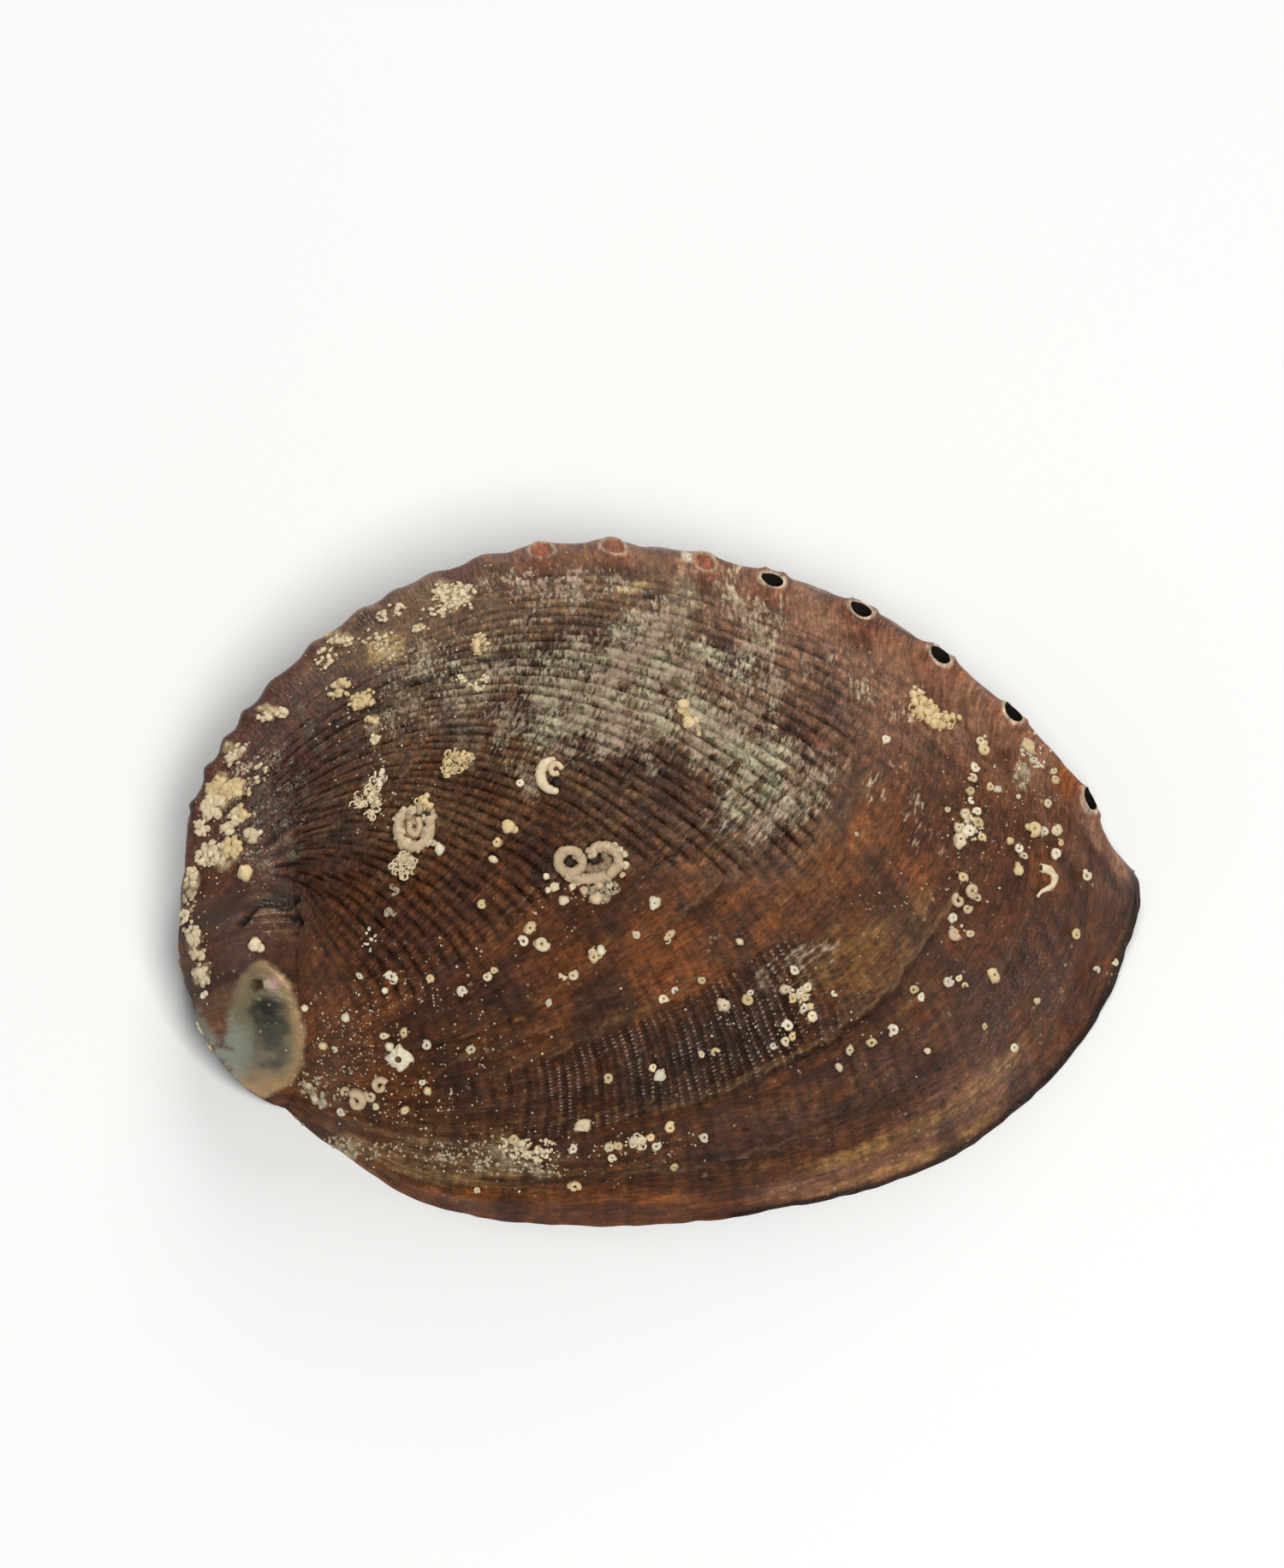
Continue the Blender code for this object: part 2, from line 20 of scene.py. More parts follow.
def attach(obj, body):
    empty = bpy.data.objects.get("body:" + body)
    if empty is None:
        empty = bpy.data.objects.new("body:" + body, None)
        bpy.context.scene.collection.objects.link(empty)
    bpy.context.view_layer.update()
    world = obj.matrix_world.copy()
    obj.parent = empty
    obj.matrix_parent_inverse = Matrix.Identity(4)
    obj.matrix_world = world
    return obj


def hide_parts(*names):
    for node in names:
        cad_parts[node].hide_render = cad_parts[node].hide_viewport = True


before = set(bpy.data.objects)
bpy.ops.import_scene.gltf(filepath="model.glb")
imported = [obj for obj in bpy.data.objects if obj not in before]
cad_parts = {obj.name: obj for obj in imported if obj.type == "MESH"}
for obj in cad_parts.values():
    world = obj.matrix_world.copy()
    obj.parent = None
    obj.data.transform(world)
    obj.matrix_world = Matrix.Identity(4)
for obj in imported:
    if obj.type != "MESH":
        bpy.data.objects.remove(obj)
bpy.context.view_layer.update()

MM = 0.001

# The photograph's view: straight over the lip, 65 degrees above the ground
IMAGE_WIDTH = 1500
IMAGE_HEIGHT = 1832
VIEW_ELEVATION = math.radians(65)
PIXELS_PER_MM = 9.33
MIDDLE_PIXEL = (771.0, 1033.0)
CAMERA_DISTANCE = 3000.0
SENSOR = 36.0

# The shell's driving lines, as in the frame
TO_MIDDLE = np.array((0.0, 1.32, 0.0))
SEAM = (
    (-59.5, -8.4, 11.5), (-57.8, 4.0, 13.0), (-51.2, 15.8, 15.2), (-43.3, 23.8, 17.2), (-28.6, 32.3, 19.6),
    (-15.0, 36.2, 20.4), (-1.2, 36.2, 20.4), (13.8, 32.7, 19.5), (25.0, 28.9, 18.3), (34.5, 23.5, 16.6),
    (43.6, 16.6, 14.0), (52.6, 7.3, 10.0), (55.5, 2.6, 6.5), (59.2, 1.1, 1.5),
)
GUIDE = SEAM[:-2] + ((55.5, 2.6, 6.5), (57.3, -1.2, 1.5))
BEAK_POWER = 12
SUTURE_STATIONS = (0.0, 0.05, 0.1, 0.17, 0.3, 0.5, 0.7, 0.82, 1.0)
SUTURE = (
    (-50.8, -9.4, 17.0), (-48.4, -10.4, 18.8), (-46.2, -11.9, 19.9), (-45.3, -14.6, 19.5),
    (-45.2, -19.4, 17.0), (-44.4, -25.9, 10.4), (-44.7, -28.3, 5.8), (-45.5, -29.8, 3.0),
    (-46.7, -30.8, 0.0),
)
SHOULDER = (
    (-59.5, -8.4, 11.5), (-59.8, -10.3, 11.3), (-60.0, -12.2, 11.0), (-59.8, -14.8, 10.5),
    (-58.8, -18.4, 9.5), (-56.9, -23.8, 7.5), (-52.7, -28.9, 4.4), (-49.8, -30.3, 2.5), (-46.7, -30.8, 0.0),
)
LIP = (
    (-46.7, -30.8), (-43.9, -33.7), (-38.3, -38.2), (-32.5, -42.2), (-25.1, -45.0), (-16.1, -46.6),
    (-7.6, -46.8), (10.2, -45.4), (23.5, -42.5), (36.9, -37.0), (45.7, -29.9), (50.2, -25.1),
    (55.5, -17.2), (57.9, -10.3), (60.0, -3.4), (60.0, -1.6), (59.8, 0.0), (59.2, 1.1),
)
FORMER_LIP = LIP[:9] + (
    (36.5, -36.8), (44.8, -29.6), (49.0, -24.4), (52.6, -17.8), (54.2, -12.0), (54.8, -7.5), (55.2, -5.0),
    (56.0, -2.8), (57.3, -1.2),
)
CORNER_FROM = 0.75
YOUNG_START_LEAN = -22.0
YOUNG_END_LEAN = 36.0
YOUNG_HANDLE = 0.4
LIP_SHAPE_FROM = 0.35
CROWN_STATIONS = (0.0, 0.1, 0.2, 0.3, 0.4, 0.5, 0.6, 0.7, 0.8, 0.9, 0.95, 1.0)
CROWN = (0.0, 2.0, 4.8, 8.2, 11.0, 12.2, 11.2, 8.6, 5.2, 2.2, 1.5, 0.0)
CROWN_POWER = 0.8
LIP_FLAT_FROM = 0.8
LIP_FLATNESS = 11
SPIRE_DOME = (0.0, 1.0, 2.0, 2.6, 3.0, 3.2, 2.0, 1.0, 0.0)
BAND_STATIONS = (0.0, 0.1, 0.2, 0.3, 0.4, 0.5, 0.7, 0.8, 0.9, 1.0)
BAND = (0.2, 0.6, 1.8, 3.6, 5.8, 7.6, 7.0, 5.2, 2.4, 0.8)
SPIRE_BAND = (0.2, 0.0, -0.3, -0.8, -1.6, -1.8, -1.4, -0.8, 0.0)
BAND_POWER = 1.15
WALL = 2.2
LIP_WALL = 1.0
LIP_THINNING = 0.2
SHELF_WIDTH = 7.0
SHELF_EDGE_RISE = 0.6
SPIRE_SHELF_SHARE = 0.8
SHELF_RUNS_OUT = 0.25
FLAT_SPOT = (0.36, 0.64)
FLAT_SPOT_EASE = 0.1
APERTURE_MIDDLE = (0.0, -2.7)
RIDGE_HEIGHT = 0.7
RIDGE_WIDTH = 2.6
RIDGE_STARTS = 0.1
SUTURE_DEPTH = 0.9
SUTURE_WIDTH = 1.6
BAND_DEPTH = 14.0
OPEN_HOLES = (0.634, 0.710, 0.783, 0.856, 0.944)
SHUT_HOLES = (0.444, 0.502, 0.576)
KNOBS = (0.085, 0.116, 0.143, 0.169, 0.200, 0.245, 0.290, 0.323, 0.355, 0.398)
HOLE_LENGTH = 3.0
HOLE_WIDTH = 2.1
HOLE_INSETS = (1.1, 0.6, 0.45, 0.2, 0.1)
SHUT_INSET = 1.15
HOLE_LEAN = 0.75
RIM_SHIFT = 0.3
PIN_LENGTH = 6.6
PIN_RISE = 0.3
PIN_SIDES = 36
DEEPEST_PIT = 1.2
MOUND_HEIGHT = 0.75
MOUND_RADIUS = 2.9
KNOB_HEIGHT = 0.6
KNOB_RADIUS_PER_STATION = 4.8

# The back's relief. A rim is given by its distance from the hole's middle, its width and its height
OPEN_RIM = (1.12, 0.22, 0.28)
SHUT_RIM = (1.05, 0.2, 0.24)
PLUG_DEPTH = 0.3
FLANK_CORDS = 11
FLANK_TURNS = 5.5
FLANK_CORD_HEIGHT = 0.75
SWELL_HEIGHT = 0.18
DRIFTING_STEP = 0.868
STEP_DRIFT = 0.03
HIGHEST_STEP = 0.44
FRAYED_WIDTH = 0.28
SPIRE_PIT = (299, 1151, 6.5, 8)
PIT_DEPTH = 0.9
PIT_RING_HEIGHT = 0.18
CAP_RIM_HEIGHT = 0.3
CAP_RIM_WIDTH = 0.55
RELIEF_FADE = 0.03
FAR_AWAY = 99.0
BEADS_PER_LENGTH = 230
SHARP_ANGLE = math.radians(58)

# The order of the shell's materials
BACK_SLOT = 0
INSIDE_SLOT = 1
HOLE_WALL_SLOT = 2

# How finely the visual shell is cut
COLUMNS = 320
CORDS = 52
ROWS_PER_CORD = 5
EDGE_ROWS_FROM = 0.965
EDGE_ROWS = 22
SPIRE_ROWS = 22
BAND_ROWS = 12
INSIDE_COLUMNS = 76
INSIDE_ROWS = 52
INSIDE_SPIRE_ROWS = 8
INSIDE_BAND_ROWS = 8


# Colours are written as they look in the photograph, from 0 to 255
def linear(red, green, blue):
    """A colour as the shader needs it."""
    shares = np.array([red, green, blue], float) / 255
    return np.where(shares <= 0.04045, shares / 12.92, ((shares + 0.055) / 1.055) ** 2.4)


DARK_BROWN = linear(44, 24, 16)
BROWN = linear(90, 52, 30)
GREY_BROWN = linear(108, 84, 61)
WARM_BROWN = linear(106, 62, 31)
ROSE_BROWN = linear(136, 100, 80)
ORANGE_BROWN = linear(140, 80, 35)
MAROON = linear(62, 31, 21)
SAGE = linear(226, 220, 190)
STROKE_ROSE = linear(206, 184, 164)
STROKE_OLIVE = linear(124, 122, 92)
SEA_GREEN = linear(138, 154, 126)
OCHRE = linear(160, 124, 66)
SMEAR = linear(184, 156, 104)
# Pale colour for painted glints on the lattice's beads
GLINT = linear(198, 182, 168)
DULL_MAROON = linear(78, 46, 38)
CREAM = linear(204, 186, 148)
GREY_LIME = linear(166, 152, 126)
NACRE_SILVER = linear(112, 106, 86)
BLUE_BLACK = linear(38, 44, 46)
BEIGE = linear(168, 138, 100)
PLUG_RED = linear(136, 76, 52)
RIM_PALE = linear(196, 180, 158)
LIME_CREAM = linear(218, 206, 176)
LIME_WHITE = linear(222, 216, 196)
LIME_YELLOW = linear(214, 194, 150)
LIME_PINK = linear(208, 186, 156)
LIME_GREY = linear(170, 160, 138)
# Brown for random dirt, and for painted shade low on growths and in their openings
DIRT_AND_SHADE = linear(112, 88, 64)
MOUND_BROWN = linear(136, 74, 52)
CHIP_WHITE = linear(214, 204, 186)
PIT_BROWN = linear(70, 48, 34)
NACRE_GREEN = linear(134, 144, 134)
NACRE_ROSE = linear(196, 162, 172)
RUST = linear(104, 60, 40)
SPECK = linear(176, 158, 122)
# Near-black painted shade for the walls of the open holes
HOLE_SHADE = linear(30, 25, 22)
NACRE_STOPS = (
    (0.0, linear(208, 206, 200)), (0.2, linear(216, 196, 200)), (0.38, linear(212, 210, 202)),
    (0.55, linear(184, 204, 192)), (0.72, linear(184, 196, 208)), (0.88, linear(210, 204, 208)),
    (1.0, linear(208, 206, 200)),
)


def smooth(stations, values, at):
    """Values given at stations, joined by a smooth curve and read at other stations."""
    stations = np.asarray(stations, float)
    values = np.asarray(values, float)
    at = np.asarray(at, float)
    slopes = np.gradient(values, stations, axis=0)
    k = np.clip(np.searchsorted(stations, at, side="right") - 1, 0, len(stations) - 2)
    width = stations[k + 1] - stations[k]
    x = np.clip((at - stations[k]) / width, 0, 1)
    if values.ndim > 1:
        width = width[..., None]
        x = x[..., None]
    start, end = values[k], values[k + 1]
    return (
        (1 + 2 * x) * (1 - x) ** 2 * start
        + x * (1 - x) ** 2 * width * slopes[k]
        + x ** 2 * (3 - 2 * x) * end
        - x ** 2 * (1 - x) * width * slopes[k + 1]
    )


def arc_stations(points):
    """Each point's share of the polyline's length."""
    steps = np.linalg.norm(np.diff(np.asarray(points, float), axis=0), axis=1)
    return np.concatenate([[0.0], np.cumsum(steps)]) / steps.sum()


def as_plan(points):
    points = np.asarray(points, float)
    return points[..., 0] + 1j * points[..., 1]


SEAM_STATIONS = arc_stations([point[:2] for point in SEAM])
LIP_STATIONS = arc_stations(LIP)
SEAM_LENGTH = float(np.abs(np.diff(as_plan(SEAM))).sum())


def seam(s):
    return smooth(SEAM_STATIONS, SEAM, s) + TO_MIDDLE


def guide(s):
    return smooth(SEAM_STATIONS, GUIDE, s) + TO_MIDDLE


def suture(s):
    return smooth(SUTURE_STATIONS, SUTURE, s) + TO_MIDDLE


def shoulder(s):
    return smooth(SUTURE_STATIONS, SHOULDER, s) + TO_MIDDLE


def ease(start, end, at):
    """A smooth step from 0 at start to 1 at end."""
    x = np.clip((np.asarray(at, float) - start) / (end - start), 0, 1)
    return x ** 2 * (3 - 2 * x)


def bell(x):
    """1 where x is 0, falling off smoothly to both sides."""
    return np.exp(-(x ** 2))


def edge_form(edge, v):
    """A lip's edge in plan, without its beak, as a share of the chord from suture to row."""
    line = as_plan(smooth(LIP_STATIONS, edge, v))
    start, end, row_end = as_plan(edge[0]), as_plan(edge[-1]), as_plan(GUIDE[-1])
    return (line - v ** BEAK_POWER * (end - row_end) - start) / (row_end - start)


def young_form(v):
    """A young growth line in plan, as a share of its chord: a plain curve with two handles."""
    out = YOUNG_HANDLE * np.exp(1j * math.radians(YOUNG_START_LEAN))
    back = 1 - YOUNG_HANDLE * np.exp(1j * math.radians(YOUNG_END_LEAN))
    return 3 * v * (1 - v) ** 2 * out + 3 * v ** 2 * (1 - v) * back + v ** 3


def crown(s, v):
    """The smooth outside between suture (v = 0) and row (v = 1)."""
    s, v = np.broadcast_arrays(np.asarray(s, float), np.asarray(v, float))
    inner, outer = suture(s), seam(s)
    grown = ease(LIP_SHAPE_FROM, 1, s)
    cornered = np.clip((s - CORNER_FROM) / (1 - CORNER_FROM), 0, 1) ** 3
    lip = edge_form(FORMER_LIP, v) * (1 - cornered) + edge_form(LIP, v) * cornered
    form = young_form(v) * (1 - grown) + lip * grown
    row = as_plan(guide(s))
    plan = as_plan(inner) + form * (row - as_plan(inner)) + v ** BEAK_POWER * (as_plan(outer) - row)
    power = 1 + LIP_FLATNESS * np.clip((s - LIP_FLAT_FROM) / (1 - LIP_FLAT_FROM), 0, 1) ** 6
    rise = inner[..., 2] + (outer[..., 2] - inner[..., 2]) * v ** power
    dome = smooth(CROWN_STATIONS, CROWN, s) * (4 * v * (1 - v)) ** CROWN_POWER
    return np.stack([plan.real, plan.imag, rise + dome], axis=-1)


def spire(s, q):
    """The smooth outside of the spire, from the suture (q = 0) to its left shoulder (q = 1)."""
    s, q = np.broadcast_arrays(np.asarray(s, float), np.asarray(q, float))
    inner, outer = suture(s), shoulder(s)
    place = inner + (outer - inner) * q[..., None]
    place[..., 2] += smooth(SUTURE_STATIONS, SPIRE_DOME, s) * 4 * q * (1 - q)
    return place


def outward(curve, s):
    """The unit normal in plan that points away from the shell's middle."""
    step = 0.004
    ahead = as_plan(curve(np.clip(s + step, 0, 1))) - as_plan(curve(np.clip(s - step, 0, 1)))
    side = ahead / np.abs(ahead)
    return side * (1j if curve is seam else -1j)


def band(curve, widths, s, b):
    """The steep outside below the row (b = 0) or the spire's shoulder, down to the ground (b = 1)."""
    s, b = np.broadcast_arrays(np.asarray(s, float), np.asarray(b, float))
    top = curve(s)
    plan = as_plan(top) + outward(curve, s) * widths(s) * b
    return np.stack([plan.real, plan.imag, top[..., 2] * (1 - b ** BAND_POWER)], axis=-1)


def row_band_width(s):
    return smooth(BAND_STATIONS, BAND, s)


def spire_band_width(s):
    return smooth(SUTURE_STATIONS, SPIRE_BAND, s)


def shelf_width(s, on_spire):
    """The flat columellar shelf is widest beside the row and runs out towards the lip."""
    if on_spire:
        return SHELF_WIDTH * SPIRE_SHELF_SHARE * (1 - s) ** 0.5 + LIP_WALL
    return LIP_WALL + (SHELF_WIDTH - LIP_WALL) * np.clip((1 - s) / SHELF_RUNS_OUT, 0, 1) ** 0.7


def shelf_rise(s, on_spire):
    """The shelf's inner edge stands a little above the ground, but for the flat spot in its middle."""
    start, end = FLAT_SPOT
    flat = ease(start - FLAT_SPOT_EASE, start, s) * (1 - ease(end, end + FLAT_SPOT_EASE, s))
    return SHELF_EDGE_RISE * (1 - ease(1 - FLAT_SPOT_EASE, 1, s)) * (1 - (0 if on_spire else flat))


# Noise

def lattice_value(ix, iy, iz, seed):
    """A fixed value from -1 to 1 for each whole-number place."""
    h = (ix * 374761393 + iy * 668265263 + iz * 1274126177 + seed * 362437) & 0x7FFFFFFF
    h = ((h ^ (h >> 13)) * 1103515245) & 0x7FFFFFFF
    h = ((h ^ (h >> 15)) * 668265263) & 0x7FFFFFFF
    return (h ^ (h >> 16)) / 0x3FFFFFFF - 1


def noise(x, y, z=0.0, seed=0):
    """Smooth noise, mostly between -1 and 1, with features about one unit wide."""
    x, y, z = np.broadcast_arrays(np.asarray(x, float), np.asarray(y, float), np.asarray(z, float))
    ix, iy, iz = (np.floor(c).astype(np.int64) for c in (x, y, z))
    fx, fy, fz = x - ix, y - iy, z - iz
    fx, fy, fz = (f * f * (3 - 2 * f) for f in (fx, fy, fz))
    total = np.zeros(x.shape)
    for dx, wx in ((0, 1 - fx), (1, fx)):
        for dy, wy in ((0, 1 - fy), (1, fy)):
            for dz, wz in ((0, 1 - fz), (1, fz)):
                total += wx * wy * wz * lattice_value(ix + dx, iy + dy, iz + dz, seed)
    return total


def fractal(x, y, z=0.0, octaves=4, seed=0):
    """Noise with finer noise laid over it."""
    total, weight = 0.0, 0.0
    for k in range(octaves):
        total = total + noise(x * 2 ** k, y * 2 ** k, z * 2 ** k, seed + k) * 0.5 ** k
        weight += 0.5 ** k
    return total / weight


# Camera and its pixels

VIEW_RIGHT = np.array((1.0, 0.0, 0.0))
VIEW_UP = np.array((0.0, math.sin(VIEW_ELEVATION), math.cos(VIEW_ELEVATION)))
VIEW_BACK = np.array((0.0, -math.cos(VIEW_ELEVATION), math.sin(VIEW_ELEVATION)))
AIM = TO_MIDDLE + (
    VIEW_RIGHT * (IMAGE_WIDTH / 2 - MIDDLE_PIXEL[0]) + VIEW_UP * (MIDDLE_PIXEL[1] - IMAGE_HEIGHT / 2)
) / PIXELS_PER_MM
EYE = AIM + VIEW_BACK * CAMERA_DISTANCE


def to_pixels(points):
    """Where points in millimetres come out in the photograph's frame."""
    away = points - EYE
    depth = -(away @ VIEW_BACK)
    scale = PIXELS_PER_MM * CAMERA_DISTANCE / depth
    return IMAGE_WIDTH / 2 + (away @ VIEW_RIGHT) * scale, IMAGE_HEIGHT / 2 - (away @ VIEW_UP) * scale


def pixel_ray(px, py):
    """The direction in which the camera looks through a pixel."""
    right = (px - IMAGE_WIDTH / 2) / PIXELS_PER_MM
    up = (IMAGE_HEIGHT / 2 - py) / PIXELS_PER_MM
    return Vector(AIM + VIEW_RIGHT * right + VIEW_UP * up - EYE).normalized()


def make_camera():
    camera = bpy.data.objects.new("camera", bpy.data.cameras.new("camera"))
    bpy.context.scene.collection.objects.link(camera)
    camera.data.sensor_width = SENSOR
    camera.data.lens = SENSOR * CAMERA_DISTANCE / (IMAGE_HEIGHT / PIXELS_PER_MM)
    camera.data.clip_start = 0.1
    camera.data.clip_end = 100
    axes = Matrix((Vector(VIEW_RIGHT), Vector(VIEW_UP), Vector(VIEW_BACK))).transposed()
    camera.matrix_world = Matrix.Translation(Vector(EYE) * MM) @ axes.to_4x4()
    bpy.context.scene.camera = camera


# The shell's surface

class Skin:
    """Points of the shell's back or inside, with their kind, station and share, and the margins' order."""

    def __init__(self, stations, shares, spire_shares, band_shares):
        kinds, s_values, p_values = [], [], []
        self.faces = []
        count = 0

        def add(kind, s, shares_here):
            nonlocal count
            first = count
            kinds.extend([kind] * len(shares_here))
            s_values.extend([s] * len(shares_here))
            p_values.extend(shares_here)
            count += len(shares_here)
            return list(range(first, count))

        rights, lefts = [], []
        last = len(stations) - 1
        for i, s in enumerate(stations):
            line = list(shares[i])
            body = add(0, s, line)
            skirt = add(2, s, band_shares)
            right = list(zip(body + skirt, line + [1 + b for b in band_shares]))
            if i == 0:
                left = right
            elif i == last:
                left = right[:1]
            else:
                rung = add(1, s, spire_shares)
                foot = add(3, s, band_shares)
                left = right[:1] + list(
                    zip(rung + foot, list(spire_shares) + [1 + b for b in band_shares])
                )
            rights.append(right)
            lefts.append(left)
        for i in range(last):
            self.faces += zipped(rights[i], rights[i + 1])
            self.faces += zipped(lefts[i + 1], lefts[i])
        uses = Counter(frozenset(face) for face in self.faces)
        self.faces = [face for face in self.faces if uses[frozenset(face)] == 1]
        self.kind = np.array(kinds)
        self.s = np.array(s_values)
        self.p = np.array(p_values)
        self.margins = {
            "lip": rights[-1],
            "row": [(rights[i][-1][0], stations[i]) for i in range(last + 1)],
            "foot": [(lefts[i][-1][0], stations[i]) for i in range(last + 1)],
        }

    def of(self, kind):
        return np.flatnonzero(self.kind == kind)

    def smooth_form(self):
        place = np.empty((len(self.s), 3))
        makers = (
            crown,
            spire,
            lambda s, b: band(seam, row_band_width, s, b),
            lambda s, b: band(shoulder, spire_band_width, s, b),
        )
        for kind, maker in enumerate(makers):
            chosen = self.of(kind)
            place[chosen] = maker(self.s[chosen], self.p[chosen])
        return place


def zipped(first, second):
    """Triangles between two rows of (index, parameter) whose counts may differ."""
    faces = []
    i = j = 0
    while i < len(first) - 1 or j < len(second) - 1:
        take_first = j == len(second) - 1 or (
            i < len(first) - 1 and first[i + 1][1] <= second[j + 1][1]
        )
        if take_first:
            face = (first[i][0], second[j][0], first[i + 1][0])
            i += 1
        else:
            face = (first[i][0], second[j][0], second[j + 1][0])
            j += 1
        if len(set(face)) == 3:
            faces.append(face)
    return faces


def vertex_normals(place, faces):
    faces = np.asarray(faces)
    corners = place[faces]
    face_normals = np.cross(corners[:, 1] - corners[:, 0], corners[:, 2] - corners[:, 0])
    normals = np.zeros_like(place)
    for corner in range(3):
        np.add.at(normals, faces[:, corner], face_normals)
    return normals / np.maximum(np.linalg.norm(normals, axis=1, keepdims=True), 1e-9)


def outside_skin():
    """The back: stations lie closer where the holes are, and rows closer along the crest."""
    fine = np.linspace(0, 1, 4001)
    density = np.ones_like(fine)
    for station in OPEN_HOLES + SHUT_HOLES:
        density += 1.6 * bell((fine - station) / 0.012)
    share = np.concatenate([[0.0], np.cumsum((density[1:] + density[:-1]) / 2)])
    stations = np.interp(np.linspace(0, 1, COLUMNS + 1), share / share[-1], fine)
    full = np.arange(0, CORDS * ROWS_PER_CORD) / (CORDS * ROWS_PER_CORD)
    edge = np.linspace(EDGE_ROWS_FROM, 1, EDGE_ROWS)
    shares = []
    for s in stations:
        step = 1 if s > 0.33 else 2 if s > 0.14 else 4
        line = full[::step]
        shares.append(np.concatenate([line[line < EDGE_ROWS_FROM - 0.002 * step], edge[::min(step, 3)]]))
    spire_shares = np.linspace(0, 1, SPIRE_ROWS + 1)[1:]
    band_shares = np.linspace(0, 1, BAND_ROWS + 1)[1:] ** 1.25
    return Skin(stations, shares, spire_shares, band_shares)


def inside_skin():
    stations = np.linspace(0, 1, INSIDE_COLUMNS + 1)
    shares = [np.linspace(0, 1, (INSIDE_ROWS if s > 0.3 else INSIDE_ROWS // 2) + 1) for s in stations]
    spire_shares = np.linspace(0, 1, INSIDE_SPIRE_ROWS + 1)[1:]
    band_shares = np.linspace(0, 1, INSIDE_BAND_ROWS + 1)[1:]
    return Skin(stations, shares, spire_shares, band_shares)


def lined(skin):
    """The inside: the outside moved in by the wall, and drawn in to the shelf's edge below the row."""
    outside = skin.smooth_form()
    inward = -vertex_normals(outside, skin.faces)
    thickness = LIP_WALL + (WALL - LIP_WALL) * np.clip((1 - skin.s) / LIP_THINNING, 0, 1)
    place = outside + inward * thickness[:, None]
    tops = {}
    for kind in (0, 1):
        ends = skin.of(kind)
        ends = ends[skin.p[ends] == 1.0]
        tops.update({(kind, skin.s[k]): place[k].copy() for k in ends})
    for k in np.flatnonzero(skin.kind >= 2):
        on_spire = skin.kind[k] == 3
        station = skin.s[k]
        top = tops[(1 if on_spire else 0, station)]
        curve = shoulder if on_spire else seam
        away = outward(curve, station)
        ground = band(curve, spire_band_width if on_spire else row_band_width, station, 1.0)
        edge = ground - np.array([away.real, away.imag, 0]) * shelf_width(station, on_spire)
        edge[2] = shelf_rise(station, on_spire)
        place[k] = top + (edge - top) * skin.p[k]
    for k in np.flatnonzero((skin.kind == 0) & (skin.s == 1.0)):
        toward = np.array(APERTURE_MIDDLE) - outside[k, :2]
        toward = toward / np.linalg.norm(toward)
        place[k] = outside[k]
        place[k, :2] += toward * LIP_WALL
    place[:, 2] = np.maximum(place[:, 2], 0.0)
    return place


def chip_lip(place, skin):
    """Makes the growing edge a little uneven."""
    near_lip = ease(0.965, 1, skin.s) * (skin.kind == 0)
    way = place[:, :2] - APERTURE_MIDDLE
    way = way / np.linalg.norm(way, axis=1, keepdims=True)
    uneven = 0.3 * fractal(skin.p * 14, 0.0, 0.0, 3, seed=91) + 0.12 * noise(skin.p * 90, 0.0, seed=92)
    calm = np.clip(skin.p / 0.06, 0, 1) * np.clip((1 - skin.p) / 0.03, 0, 1)
    place[:, :2] += way * (near_lip * uneven * calm)[:, None]


# What the back's surface carries

LINE_STATIONS = np.linspace(0, 1, 61)
LINE_LENGTHS = np.linalg.norm(
    np.diff(crown(LINE_STATIONS[:, None], np.linspace(0, 1, 81)[None, :]), axis=1), axis=2
).sum(1)

# Former lips that still stand proud: station, height in millimetres and how fast they fade
GROWTH_STEPS = (
    (0.300, 0.16, 0.02), (0.420, 0.24, 0.025), (0.500, 0.16, 0.02), (0.580, 0.30, 0.02),
    (0.655, 0.20, 0.015), (0.700, 0.34, 0.02), (0.735, 0.16, 0.012), (0.767, 0.36, 0.015),
    (0.815, 0.14, 0.012), (0.868, 0.44, 0.025), (0.905, 0.20, 0.012), (0.935, 0.30, 0.015),
    (0.965, 0.20, 0.01),
)

# Cracks and flaked edges, as pixels along each, with depth and half width in millimetres
CRACKS = (
    (((849, 942), (832, 958), (808, 980), (780, 1002), (753, 1022)), 0.28, 0.22),
    (((612, 785), (606, 815), (600, 850)), 0.3, 0.2),
    (((724, 917), (734, 900), (748, 891), (763, 890)), 0.26, 0.2),
    (((849, 942), (838, 925), (842, 905), (860, 890)), 0.22, 0.2),
    (((282, 1080), (292, 1066), (300, 1056), (316, 1053), (332, 1058), (347, 1049)), 0.8, 0.4),
    (((338, 1070), (345, 1074), (352, 1078)), 0.9, 0.45),
)

# Frayed edges of former lips that stand proud, by pixel, with their height
FRAYED_EDGES = (
    (((455, 1290), (560, 1222), (640, 1165), (690, 1120), (723, 1087)), 0.3),
    (((700, 1200), (767, 1172), (797, 1154), (834, 1120), (856, 1128)), 0.28),
    (((900, 1060), (960, 1022), (1000, 990), (1012, 962)), 0.25),
    (((560, 1330), (700, 1300), (860, 1262), (960, 1215)), 0.22),
)


def line_length(s):
    return np.interp(s, LINE_STATIONS, LINE_LENGTHS)


